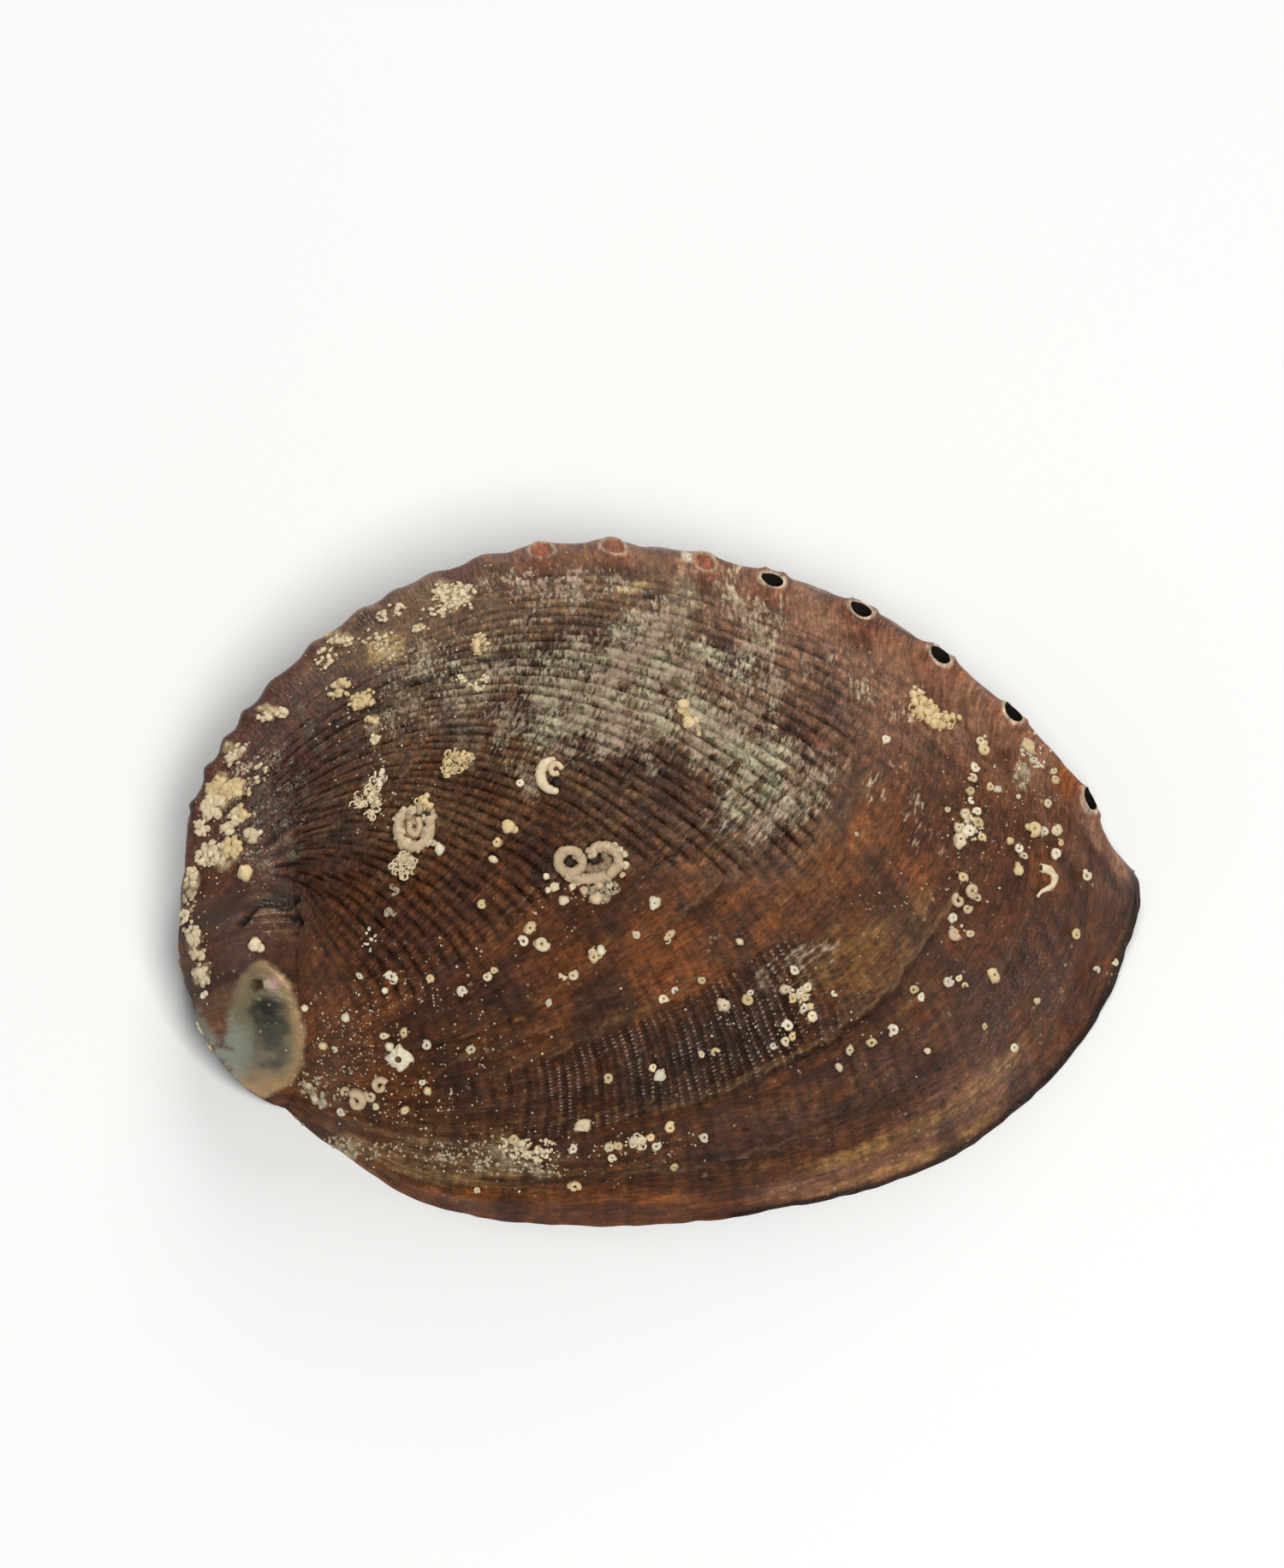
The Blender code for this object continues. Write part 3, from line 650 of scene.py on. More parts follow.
def cord_strength(s, v):
    """How proud the cords stand, in millimetres: strong on the middle years, faint by holes and lip."""
    ropes_end = 0.575 + 0.13 * ease(0.42, 0.62, v) + 0.008 * noise(v * 30, 0.0, seed=13)
    middle = ease(0.02, 0.14, s) * (1 - ease(ropes_end, ropes_end + 0.03, s)) * ease(0.03, 0.16, v)
    middle = middle * (1 - ease(0.7, 0.93, v))
    lattice = ease(0.762, 0.782, s) * (1 - ease(0.862, 0.88, s)) * ease(0.1, 0.3, v)
    lattice = lattice * (1 - ease(0.52, 0.62, v))
    upper = ease(0.35, 0.45, s) * (1 - ease(0.66, 0.76, s)) * ease(0.6, 0.72, v)
    upper = upper * (1 - ease(0.93, 0.98, v))
    ribs = ease(0.88, 0.9, s) * (1 - ease(0.95, 0.985, s)) * ease(0.15, 0.35, v)
    ribs = ribs * (1 - ease(0.6, 0.75, v))
    rest = 0.09 * ease(0.02, 0.1, s) * (1 - ease(0.9, 0.97, v)) * (1 - 0.5 * ease(0.88, 0.94, s))
    return rest + 0.36 * middle + 0.12 * lattice + 0.16 * upper + 0.1 * ribs


def fine_cord_share(s, v):
    """How clearly cords half as wide show beyond the ropes: fully in the lattice, faintly around it."""
    begins = 0.585 + 0.13 * ease(0.42, 0.62, v)
    around = ease(begins, begins + 0.04, s) * (1 - ease(0.94, 0.98, s)) * ease(0.04, 0.16, v)
    around = around * (1 - ease(0.62, 0.76, v))
    lattice = ease(0.762, 0.776, s) * (1 - ease(0.866, 0.878, s)) * ease(0.16, 0.3, v)
    lattice = lattice * (1 - ease(0.55, 0.62, v))
    return np.maximum(0.3 * around, lattice)


def cord_wave(s, v):
    """The cords' phase and their height from 0 to 1: round ropes with narrow grooves between them."""
    bend = 0.35 * noise(s * 9, v * 7, seed=11) + 0.16 * noise(s * 30, v * 26, seed=12)
    phase = CORDS * v + bend
    across = 2 * (phase - np.floor(phase)) - 1
    return phase, 1 - np.abs(across) ** 3


def hole_inset(station):
    """How far inside the row a hole's middle lies."""
    return HOLE_INSETS[OPEN_HOLES.index(station)] if station in OPEN_HOLES else SHUT_INSET


def hole_distance(s, across, station):
    """How far a point lies from a hole's middle, where 1 is the hole's edge."""
    along = (s - station) * SEAM_LENGTH
    inset = hole_inset(station) - (RIM_SHIFT if station in OPEN_HOLES else 0)
    return np.hypot(along / (HOLE_LENGTH / 2), (across - inset) / (HOLE_WIDTH / 2))


def pin_distance(places, station):
    """How far points of the finished back lie from an open hole's axis, where 1 is the hole's edge."""
    middle, x_axis, y_axis, _ = hole_axes(station)
    offset = places - middle
    return np.hypot(offset @ x_axis / (HOLE_LENGTH / 2), offset @ y_axis / (HOLE_WIDTH / 2))


def path_distance(px, py, path):
    """Pixels from each point to a line through the path's points."""
    best = np.full(px.shape, 1e9)
    for (ax, ay), (bx, by) in zip(path, path[1:]):
        length = (bx - ax) ** 2 + (by - ay) ** 2
        t = np.clip(((px - ax) * (bx - ax) + (py - ay) * (by - ay)) / length, 0, 1)
        best = np.minimum(best, np.hypot(px - ax - t * (bx - ax), py - ay - t * (by - ay)))
    return best


class Back:
    """Everything that is worked out point by point on the shell's back."""

    def __init__(self, skin, place):
        self.skin = skin
        self.on_crown = skin.kind == 0
        self.on_spire = skin.kind == 1
        self.on_band = skin.kind == 2
        self.facing = self.on_crown | self.on_spire
        self.s = skin.s
        self.v = np.select([self.on_crown, self.on_band], [skin.p, 1 + skin.p], -skin.p)
        from_row = [(1 - skin.p) * line_length(self.s), -skin.p * BAND_DEPTH]
        self.across = np.select([self.on_crown, self.on_band], from_row, FAR_AWAY)
        self.x, self.y, self.z = place.T
        self.px, self.py = to_pixels(place)
        self.phase, self.cord = cord_wave(self.s, np.clip(self.v, 0, 1))
        self.phase = self.phase + FLANK_CORDS * np.clip(self.v - 1, 0, 1)
        self.height = np.zeros(len(self.s))
        self.edge = np.zeros(len(self.s))
        self.shade = np.zeros(len(self.s))
        self.crack = np.zeros(len(self.s))
        self.frayed = np.zeros(len(self.s))

    def relief(self):
        """How far each point stands out along the surface's normal, in millimetres."""
        self.raise_row()
        self.raise_growth_steps()
        self.raise_cords()
        self.raise_flank()
        self.roughen()
        self.sink_suture()
        self.sink_cracks()
        self.raise_frayed_edges()
        self.shape_spire()
        height = np.maximum(self.height + self.crust_height(), -DEEPEST_PIT)
        margin = np.clip((1 - self.s) / RELIEF_FADE, 0, 1)
        skirt = np.where(self.skin.kind >= 2, 1 - self.skin.p, 1.0)
        return height * margin * skirt

    def raise_row(self):
        """The ridge along the row, the holes' mounds and rims, and the knobs of the oldest holes."""
        s, across = self.s, self.across
        self.height += RIDGE_HEIGHT * bell(across / RIDGE_WIDTH) * np.clip(s / RIDGE_STARTS, 0, 1)
        for station in OPEN_HOLES + SHUT_HOLES:
            away = np.hypot((s - station) * SEAM_LENGTH, across - hole_inset(station)) / MOUND_RADIUS
            self.height += MOUND_HEIGHT * bell(away)
        for holes, (where, wide, high) in ((OPEN_HOLES, OPEN_RIM), (SHUT_HOLES, SHUT_RIM)):
            for station in holes:
                ring = hole_distance(s, across, station)
                self.height += high * bell((ring - where) / wide)
                if holes is SHUT_HOLES:
                    self.height -= PLUG_DEPTH * (1 - ease(0.7, 1.0, ring))
        for station in KNOBS:
            radius = KNOB_RADIUS_PER_STATION * station ** 0.75
            self.height += KNOB_HEIGHT * bell(np.hypot((s - station) * SEAM_LENGTH, across) / radius)

    def raise_growth_steps(self):
        """The former lips, with their bright edge in self.edge and the painted shadow past it in self.shade.
        """
        s, v = self.s, self.v
        on_line = np.sin(math.pi * np.clip(v, 0, 1)) ** 0.5
        wander = 0.006 * fractal(v * 9, s * 0, seed=21) + 0.003 * noise(v * 60, 0, seed=22)
        drift = STEP_DRIFT * ease(0.45, 0.86, v)
        for station, step, fade in GROWTH_STEPS:
            before = station - drift * (station == DRIFTING_STEP) + wander - s
            broken = 0.3 + 0.7 * ease(-0.3, 0.4, noise(v * 7, station * 90, seed=23))
            rise = np.exp(-np.clip(before, 0, None) / fade) * ease(-0.004, 0.001, before)
            self.height += step * broken * rise * on_line
            seen = step / HIGHEST_STEP * broken * self.on_crown * ease(0.1, 0.25, v) * (1 - ease(0.7, 0.9, v))
            self.edge = np.maximum(self.edge, seen * bell(before / 0.002))
            self.shade = np.maximum(self.shade, seen * bell((before + 0.006) / 0.004))

    def raise_cords(self):
        """The spiral cords, each with its own height and beaded along its way."""
        s = self.s
        strength = cord_strength(s, np.clip(self.v, 0, 1)) * self.on_crown
        own = 1 + 0.45 * noise(np.floor(self.phase) * 0.77, s * 5, seed=32)
        beads = 1 + 0.45 * noise(s * 150, self.phase, seed=31) + 0.3 * noise(s * 60, self.phase, seed=33)
        self.height += strength * (self.cord - 0.6) * beads * own

    def raise_flank(self):
        """Low cords along the flank below the row."""
        s, v = self.s, self.v
        swerve = 0.5 * noise(s * 7, 0.0, seed=34) + 0.25 * noise(s * 25, v * 6, seed=35)
        turns = FLANK_TURNS * np.clip(v - 1, 0, 1) + swerve
        self.band_cord = 0.5 + 0.5 * np.cos(2 * math.pi * turns)
        self.below_row = self.on_band * ease(0.02, 0.14, v - 1) * (1 - ease(0.75, 1.0, v - 1))
        uneven = 0.75 + 0.5 * noise(s * 40, v * 9, seed=36)
        self.height += FLANK_CORD_HEIGHT * self.band_cord * self.below_row * uneven
        self.height += 0.22 * noise(s * 60, v * 2, seed=37) * self.below_row

    def roughen(self):
        """Thread-like growth lines, and slow swells everywhere but on the spire."""
        s, v = self.s, self.v
        growth = 0.07 * noise(s * 160, v * 9, seed=41) + 0.06 * noise(s * 70, v * 4, seed=42)
        self.height += growth * np.where(self.on_spire, 0.2, 1.0) * ease(0, 0.1, s)
        self.height += SWELL_HEIGHT * fractal(self.x / 7, self.y / 7, self.z / 7, 3, seed=51) * ~self.on_spire

    def sink_suture(self):
        """The groove where the last turn meets the spire."""
        s, v = self.s, self.v
        inner = as_plan(suture(s))
        crown_side = v * np.abs(as_plan(seam(s)) - inner)
        spire_side = -v * np.abs(as_plan(shoulder(s)) - inner)
        sides = [self.on_crown, self.on_spire]
        away = np.select(sides, [crown_side, spire_side], FAR_AWAY) / SUTURE_WIDTH
        depth = SUTURE_DEPTH * ease(0, 0.08, s) * (1 - 0.75 * ease(0.14, 0.24, s)) * (1 - ease(0.6, 1, s))
        self.height -= depth * bell(away)

    def sink_cracks(self):
        jag = 1 + 0.4 * noise(self.x * 1.2, self.y * 1.2, seed=61)
        for path, deep, wide in CRACKS:
            away = path_distance(self.px, self.py, path) / PIXELS_PER_MM
            here = bell(away / (wide * jag)) * self.facing
            self.crack = np.maximum(self.crack, here)
            self.height -= deep * here

    def raise_frayed_edges(self):
        stray = 0.35 * noise(self.x * 0.9, self.y * 0.9, seed=62)
        torn = ease(-0.2, 0.3, noise(self.x * 1.6, self.y * 1.6, seed=63))
        for path, rise in FRAYED_EDGES:
            away = path_distance(self.px, self.py, path) / PIXELS_PER_MM + stray
            here = bell(away / FRAYED_WIDTH) * self.facing * torn
            self.frayed = np.maximum(self.frayed, here)
            self.height += rise * here

    def shape_spire(self):
        """The pit in the spire with its raised ring, and the bead along the nacre's right edge."""
        px, py, rx, ry = SPIRE_PIT
        away = np.hypot((self.px - px) / rx, (self.py - py) / ry) * np.where(self.facing, 1, FAR_AWAY)
        self.pit = 1 - ease(0.5, 1.1, away)
        self.height -= PIT_DEPTH * self.pit
        self.height += PIT_RING_HEIGHT * bell((away - 1.5) / 0.4)
        away = path_distance(self.px, self.py, CAP_RIM) / PIXELS_PER_MM
        uneven = 0.8 + 0.4 * noise(self.s * 60, self.v * 40)
        self.height += CAP_RIM_HEIGHT * bell(away / CAP_RIM_WIDTH) * self.facing * uneven

    def crust_height(self):
        """Thin crusts of lime that grew over the back, kept as a share from 0 to 1 in self.crust."""
        ragged = fractal(self.x / 1.6, self.y / 1.6, self.z / 1.6, 3, seed=71)
        reach = np.zeros(len(self.s))
        for px, py, rx, ry, weight in CRUSTS:
            away = np.hypot((self.px - px) / rx, (self.py - py) / ry)
            reach = np.maximum(reach, weight * (1 - ease(0.3, 1.2, away)))
        self.crust = ease(0.5, 0.8, reach + 0.75 * ragged) * self.facing
        lumps = 0.5 + 0.5 * noise(self.x / 0.75, self.y / 0.75, self.z / 0.75, seed=72)
        return self.crust * (0.08 + 0.3 * lumps)


# Crusts by pixel, half widths in pixels and how whole they are
CRUSTS = (
    (532, 698, 32, 24, 0.95), (464, 711, 12, 10, 0.8), (398, 749, 22, 10, 0.9), (491, 734, 14, 7, 0.9),
    (453, 761, 28, 16, 0.8), (560, 755, 12, 14, 0.85), (399, 799, 12, 10, 0.9), (422, 818, 20, 12, 0.95),
    (435, 841, 12, 8, 0.9), (438, 865, 8, 14, 0.85), (557, 800, 20, 12, 0.6), (534, 893, 26, 16, 0.7),
    (431, 925, 20, 22, 0.75), (319, 833, 18, 9, 0.9), (277, 879, 14, 12, 0.85), (262, 930, 26, 26, 1.0),
    (262, 998, 26, 24, 1.0), (296, 976, 14, 12, 0.9), (224, 1030, 10, 18, 0.9), (227, 1100, 10, 20, 0.9),
    (234, 1135, 12, 18, 0.9), (575, 1355, 86, 26, 0.62), (414, 1342, 48, 20, 0.55),
    (1193, 907, 15, 22, 0.75), (640, 1372, 30, 12, 0.6), (388, 1250, 26, 16, 0.4),
    (440, 1285, 30, 18, 0.45), (360, 1280, 18, 16, 0.5), (735, 1335, 40, 10, 0.35),
    (1132, 968, 16, 30, 0.55), (596, 966, 9, 7, 0.8), (741, 686, 24, 9, 0.0),
)

# Patches of colour by pixel: half widths, tilt in degrees, colour, strength and how broken up it is
PATCHES = (
    (740, 800, 260, 190, 12, GREY_BROWN, 0.75, 0.5), (470, 790, 130, 110, -30, GREY_BROWN, 0.75, 0.6),
    (960, 790, 190, 120, 30, ROSE_BROWN, 0.6, 0.6), (900, 960, 130, 80, -38, GREY_BROWN, 0.45, 0.8),
    (1150, 820, 60, 90, -50, ROSE_BROWN, 0.5, 0.6), (640, 800, 40, 60, 0, MAROON, 0.45, 1.0),
    (770, 900, 60, 30, 30, MAROON, 0.6, 0.9), (930, 850, 70, 30, 35, MAROON, 0.65, 1.0),
    (720, 770, 90, 26, 10, MAROON, 0.6, 1.3), (860, 770, 60, 24, 30, MAROON, 0.6, 1.3),
    (1080, 940, 40, 60, 20, MAROON, 0.6, 0.8), (1010, 1060, 90, 34, -38, MAROON, 0.5, 0.8),
    (700, 870, 90, 26, 18, MAROON, 0.4, 0.9), (840, 1200, 120, 60, -28, DARK_BROWN, 0.45, 0.7),
    (560, 1010, 110, 110, 20, DARK_BROWN, 0.15, 0.7), (620, 1290, 200, 30, -5, DARK_BROWN, 0.3, 0.7),
    (548, 830, 24, 90, 5, SAGE, 0.2, 1.4), (798, 722, 18, 70, 0, SAGE, 0.2, 1.4),
    (345, 1000, 12, 14, 0, SEA_GREEN, 0.5, 1.9), (356, 920, 7, 22, 12, SEA_GREEN, 0.6, 1.9),
    (362, 850, 8, 34, -25, SEA_GREEN, 0.6, 1.9), (300, 1050, 22, 10, 0, SEA_GREEN, 0.4, 1.9),
    (262, 1083, 18, 5, 0, SEA_GREEN, 0.5, 1.9), (300, 940, 9, 26, 0, SEA_GREEN, 0.4, 1.9),
    (895, 925, 9, 22, 30, SEA_GREEN, 0.6, 1.2), (742, 686, 38, 9, -16, SMEAR, 0.95, 0.9),
    (450, 762, 32, 20, -24, SMEAR, 0.85, 0.9), (790, 1120, 130, 60, -35, ORANGE_BROWN, 0.5, 0.8),
    (680, 1160, 80, 70, -35, ORANGE_BROWN, 0.45, 0.8), (1006, 970, 18, 40, 20, ORANGE_BROWN, 0.6, 0.8),
    (1064, 1090, 10, 60, 24, OCHRE, 0.45, 1.0), (1000, 1120, 60, 40, -30, OCHRE, 0.3, 1.0),
    (1255, 915, 34, 24, 48, ORANGE_BROWN, 0.9, 0.4), (1120, 775, 30, 20, 40, ORANGE_BROWN, 0.5, 0.5),
    (1040, 740, 30, 20, 40, ORANGE_BROWN, 0.3, 0.6), (1230, 1060, 110, 90, 60, WARM_BROWN, 0.5, 0.6),
    (640, 1396, 240, 12, 2, ORANGE_BROWN, 0.65, 0.5), (760, 1366, 250, 6, -3, OCHRE, 0.4, 0.6),
    (540, 1378, 110, 5, 8, OCHRE, 0.5, 0.6), (1120, 1290, 130, 44, -30, ROSE_BROWN, 0.45, 0.7),
    (380, 1090, 70, 60, 10, WARM_BROWN, 0.4, 0.7), (520, 1250, 120, 60, 0, WARM_BROWN, 0.4, 0.8),
    (300, 1090, 90, 50, 0, DARK_BROWN, 0.6, 0.6), (262, 1150, 30, 70, 0, GREY_BROWN, 0.4, 0.9),
    (330, 910, 60, 130, 20, DULL_MAROON, 0.75, 0.8), (310, 1030, 60, 40, 0, DULL_MAROON, 0.6, 0.9),
    (300, 1075, 60, 40, 0, GREY_BROWN, 0.6, 1.3), (290, 1100, 62, 60, 0, DULL_MAROON, 0.8, 2.2),
    (520, 1352, 130, 34, 6, BEIGE, 0.45, 1.4), (790, 1130, 170, 90, -35, ORANGE_BROWN, 0.35, 1.2),
    (640, 1230, 150, 70, -30, WARM_BROWN, 0.4, 1.0), (480, 950, 130, 80, -10, GREY_BROWN, 0.55, 1.2),
    (900, 1350, 260, 34, -10, WARM_BROWN, 0.5, 0.8), (560, 1040, 110, 60, 20, WARM_BROWN, 0.4, 1.0),
    (420, 800, 60, 30, -40, DULL_MAROON, 0.5, 1.0), (288, 1074, 14, 6, -30, BLUE_BLACK, 0.9, 0.8),
    (345, 1072, 8, 6, 20, BLUE_BLACK, 0.95, 0.4), (318, 1050, 18, 6, -10, BLUE_BLACK, 0.8, 0.9),
    (1230, 1110, 90, 110, 30, MAROON, 0.5, 0.9), (1120, 1200, 120, 50, -40, DULL_MAROON, 0.45, 0.9),
    (950, 1330, 200, 40, -14, DULL_MAROON, 0.4, 0.8), (820, 1230, 130, 62, -27, DARK_BROWN, 0.6, 0.5),
    (1010, 1376, 150, 24, -13, ROSE_BROWN, 0.5, 0.6), (1160, 1000, 120, 50, -50, MAROON, 0.45, 0.8),
    (1010, 880, 70, 24, 40, MAROON, 0.5, 0.9),
)

# Where pale strokes lie over the brown, by pixel: half widths, tilt and how thick they are; partly pale
# colour, partly painted glints
STROKES = (
    (720, 800, 190, 150, 12, 0.95), (850, 780, 90, 110, 20, 0.9), (500, 800, 110, 90, -20, 0.8),
    (900, 930, 110, 70, -35, 0.9), (1060, 940, 110, 60, 50, 0.6), (1000, 1100, 90, 50, -30, 0.5),
    (800, 1010, 90, 50, -40, 0.55), (560, 900, 90, 50, 0, 0.55), (1140, 800, 60, 70, 40, 0.35),
    (1100, 1320, 150, 40, -24, 0.55), (440, 1210, 90, 70, 0, 0.5), (310, 960, 60, 150, 0, 0.75),
    (650, 690, 120, 40, 0, 0.8), (860, 690, 90, 40, 20, 0.7), (1000, 800, 120, 50, 30, 0.7),
    (930, 1130, 60, 30, -30, 0.8), (1090, 1370, 130, 26, -20, 0.6), (700, 820, 220, 130, 10, 1.0),
)


# Marks that colour the back: by pixel, but for the row's tint in millimetres and the lip's line by station
WHITE_CHIP = (801, 657, 13, 7, 50)
ROW_TINT_WIDTH = 9
GREY_CRUSTS_BELOW = 1230
LIP_LINE = (0.991, 0.996)
LIP_LINE_RIGHT_OF = 850
CAP_STAINS = (
    (268, 1225, 26, 44, 0.5, NACRE_GREEN, 0.8), (320, 1206, 20, 34, 0.9, BLUE_BLACK, 0.7),
    (314, 1178, 22, 17, 0.5, BLUE_BLACK * 0.7, 0.95), (321, 1146, 9, 11, 0.6, NACRE_ROSE, 0.75),
)
CAP_RIM_PIXELS = 12
CAP_BEIGE_RIGHT = (268, 300)
CAP_BEIGE_BELOW = (1240, 1272)
CAP_RUST_LEFT_OF = 272


def patch_reach(back, px, py, rx, ry, tilt):
    """How deep inside a tilted oval of pixels each point lies: 1 at its middle, 0 on its edge."""
    turn = math.radians(tilt)
    dx, dy = back.px - px, back.py - py
    across = (dx * math.cos(turn) + dy * math.sin(turn)) / rx
    down = (-dx * math.sin(turn) + dy * math.cos(turn)) / ry
    return 1 - np.hypot(across, down)


class Paint:
    """The back's colour at each point, laid on in one coat after another."""

    def __init__(self, back):
        s, v, x, y, z = back.s, np.clip(back.v, 0, 1.6), back.x, back.y, back.z
        self.back = back
        self.streak = fractal(s * 60, v * 18, seed=101, octaves=4)
        self.broad = fractal(s * 16, v * 9, seed=102, octaves=3)
        self.along = fractal(s * 12, v * 34, seed=103, octaves=3)
        self.cloud = fractal(x / 8, y / 8, z / 8, 4, seed=104)
        self.fine = fractal(x / 1.3, y / 1.3, z / 1.3, 3, seed=105)
        self.patchy = 0.5 * fractal(x / 2.6, y / 2.6, z / 2.6, 4, seed=106)
        self.patchy = self.patchy + 0.45 * noise(s * 70, v * 18, seed=107)
        self.rings = fractal(s * 150, v * 1.5, seed=108, octaves=3)
        self.proud = np.clip(cord_strength(s, np.clip(v, 0, 1)) / 0.3, 0, 1) * back.on_crown
        self.tint = np.tile(BROWN, (len(s), 1))

    def lay(self, colour, share):
        share = np.clip(share, 0, 1)[:, None]
        self.tint = self.tint * (1 - share) + colour * share

    def lay_ground(self):
        """Brown clouds, rosier beside the row of holes and maroon beside its oldest part."""
        s, cloud = self.back.s, self.cloud
        self.lay(WARM_BROWN, ease(-0.2, 0.6, self.broad + 0.6 * cloud) * 0.8)
        self.lay(ORANGE_BROWN, ease(0.2, 0.8, self.along + 0.6 * self.streak) * 0.4)
        near_row = bell(self.back.across / ROW_TINT_WIDTH)
        self.lay(ROSE_BROWN, near_row * ease(0.35, 0.6, s) * (0.75 + 0.5 * cloud))
        early_row = near_row * (1 - ease(0.35, 0.5, s)) * self.back.on_crown
        self.lay(DULL_MAROON, early_row * (0.6 + 0.6 * cloud))

    def lay_patches(self):
        for *oval, colour, strength, broken in PATCHES:
            reach = patch_reach(self.back, *oval)
            share = ease(-0.2, 0.5, reach + broken * self.patchy) * strength * ease(-0.5, 0.1, reach)
            self.lay(colour, share * self.back.facing)

    def lay_growth_lines(self):
        late = ease(0.78, 0.9, self.back.s) * (1 - ease(0.55, 0.9, np.clip(self.back.v, 0, 1.6)))
        self.lay(OCHRE, ease(0.25, 0.7, self.rings + 0.4 * self.broad) * late * 0.55)
        self.lay(DARK_BROWN, ease(0.1, 0.5, -self.rings) * late * 0.5)
        self.lay(MAROON, ease(0.15, 0.6, -self.streak + 0.5 * self.patchy) * 0.6)
        self.lay(DARK_BROWN, ease(0.1, 0.7, -self.along - 0.6 * self.cloud + 0.3 * self.fine) * 0.7)

    def pale_strokes(self):
        """How thickly pale strokes lie over the brown; they are partly pale colour and partly painted glints.
        """
        pale = np.zeros(len(self.back.s))
        for *oval, thick in STROKES:
            reach = patch_reach(self.back, *oval)
            pale = np.maximum(pale, thick * ease(-0.35, 0.6, reach + 0.6 * self.cloud))
        return np.maximum(pale * self.back.facing, np.where(self.back.on_band, 0.7, 0.12))

    def lay_relief(self):
        """Painted shade in grooves and past former lips' edges, cords painted lighter on top, cracks and
        frayed edges.
        """
        back = self.back
        # Painted shade between the flank's cords and between the back's cords
        flank_groove = 0.9 * (1 - back.band_cord) ** 2 * back.on_band * back.below_row
        back.groove = (1 - back.cord) * self.proud + flank_groove
        # Painted light and shade: cord tops lighter, the ground between them darker
        self.tint = self.tint * (1 + 0.5 * (back.cord - 0.55) * self.proud)[:, None]
        self.lay(DARK_BROWN * 0.2, back.crack * 0.9)
        self.lay(OCHRE, back.frayed * 0.45)
        self.lay(BEIGE, back.edge * (0.3 + 0.5 * self.fine))
        # Painted shadow just past each former lip's edge
        self.lay(DARK_BROWN, back.shade * 0.55)

    def lay_holes(self):
        """The reddish mounds, the shut holes' plugs and the pale rims."""
        back, fine = self.back, self.fine
        mound = np.zeros(len(back.s))
        for station in OPEN_HOLES + SHUT_HOLES:
            along_row = (back.s - station) * SEAM_LENGTH
            self.lay(MAROON, bell(along_row / 2.6) * bell((back.across - 4.2) / 2.0) * 0.7)
            mound = np.maximum(mound, bell(hole_distance(back.s, back.across, station) / 2.1))
        self.lay(MOUND_BROWN, mound * 0.6)
        for station in SHUT_HOLES:
            ring = hole_distance(back.s, back.across, station)
            self.lay(PLUG_RED, (1 - ease(0.75, 0.95, ring)) * (0.75 + 0.5 * fine))
            self.lay(RIM_PALE, bell((ring - 1.08) / 0.15) * (0.6 + 0.5 * fine))
        for station in OPEN_HOLES:
            ring = pin_distance(back.finished, station)
            self.lay(RIM_PALE, (1 - ease(1.22, 1.42, ring)) * back.on_crown * (0.75 + 0.35 * fine))

    def lay_worn_spire(self):
        """The nacre that shows at the worn top, stained at its pit and beige along its right rim."""
        back, fine = self.back, self.fine
        cap = spire_cap(back)
        self.lay(NACRE_SILVER, cap)
        for px, py, rx, ry, broken, colour, strength in CAP_STAINS:
            self.lay(colour, cap * spot(back, px, py, rx, ry, broken) * strength)
        rim = bell(path_distance(back.px, back.py, CAP_OUTLINE) / CAP_RIM_PIXELS) * cap
        self.lay(BEIGE, rim * ease(*CAP_BEIGE_RIGHT, back.px) * (0.9 + 0.5 * fine))
        self.lay(BEIGE, cap * ease(*CAP_BEIGE_BELOW, back.py) * (0.6 + 0.6 * fine))
        rust = ease(0.1, 0.5, fine) * (back.px < CAP_RUST_LEFT_OF)
        self.lay(RUST, cap * rust * 0.85)
        return np.clip(cap * (1 - 0.7 * rust), 0, 1)

    def lay_crusts_and_edges(self):
        """Lime crusts, the dark line along the lip and the painted shade at the foot of the flank."""
        back = self.back
        self.lay(CREAM, back.crust * ease(-0.2, 0.5, 0.5 + self.fine) * 0.7)
        self.lay(GREY_LIME, back.crust * (back.py > GREY_CRUSTS_BELOW) * 0.5)
        lip = ease(*LIP_LINE, back.s + 0.002 * self.fine) * back.on_crown * (back.px > LIP_LINE_RIGHT_OF)
        self.lay(DARK_BROWN * 0.3, lip * 0.9)
        # Painted shade towards the ground at the foot of the flank
        foot = (back.skin.kind >= 2) * ease(0.75, 1.0, back.skin.p)
        self.lay(DARK_BROWN * 0.6, foot * 0.6)

    def dullness(self, pearl):
        hazy = 0.4 + 0.4 * ease(-0.2, 0.6, self.cloud)
        dull = np.clip(self.back.crust + hazy * (1 - self.proud), 0, 1)
        return np.maximum(dull, 0.5 * (self.back.on_spire & (pearl < 0.3)))


def colours(back):
    """The back's colour at each point, and its shares of pale strokes, pearl and dullness."""
    paint = Paint(back)
    paint.lay_ground()
    paint.lay_patches()
    paint.lay_growth_lines()
    pale = paint.pale_strokes()
    paint.lay_relief()
    paint.lay_holes()
    paint.lay(CHIP_WHITE, ease(0.2, 0.7, patch_reach(back, *WHITE_CHIP)) * 0.9 * back.facing)
    pearl = paint.lay_worn_spire()
    paint.lay(PIT_BROWN, back.pit * 0.9)
    paint.lay_crusts_and_edges()
    return paint.tint, pale * (1 - back.crust) * (1 - pearl), pearl, paint.dullness(pearl)


def spot(back, px, py, rx, ry, broken):
    """A soft ragged spot by pixel."""
    reach = 1 - np.hypot((back.px - px) / rx, (back.py - py) / ry)
    return ease(-0.3, 0.5, reach + broken * fractal(back.x / 1.5, back.y / 1.5, back.z / 1.5, 3, seed=141))


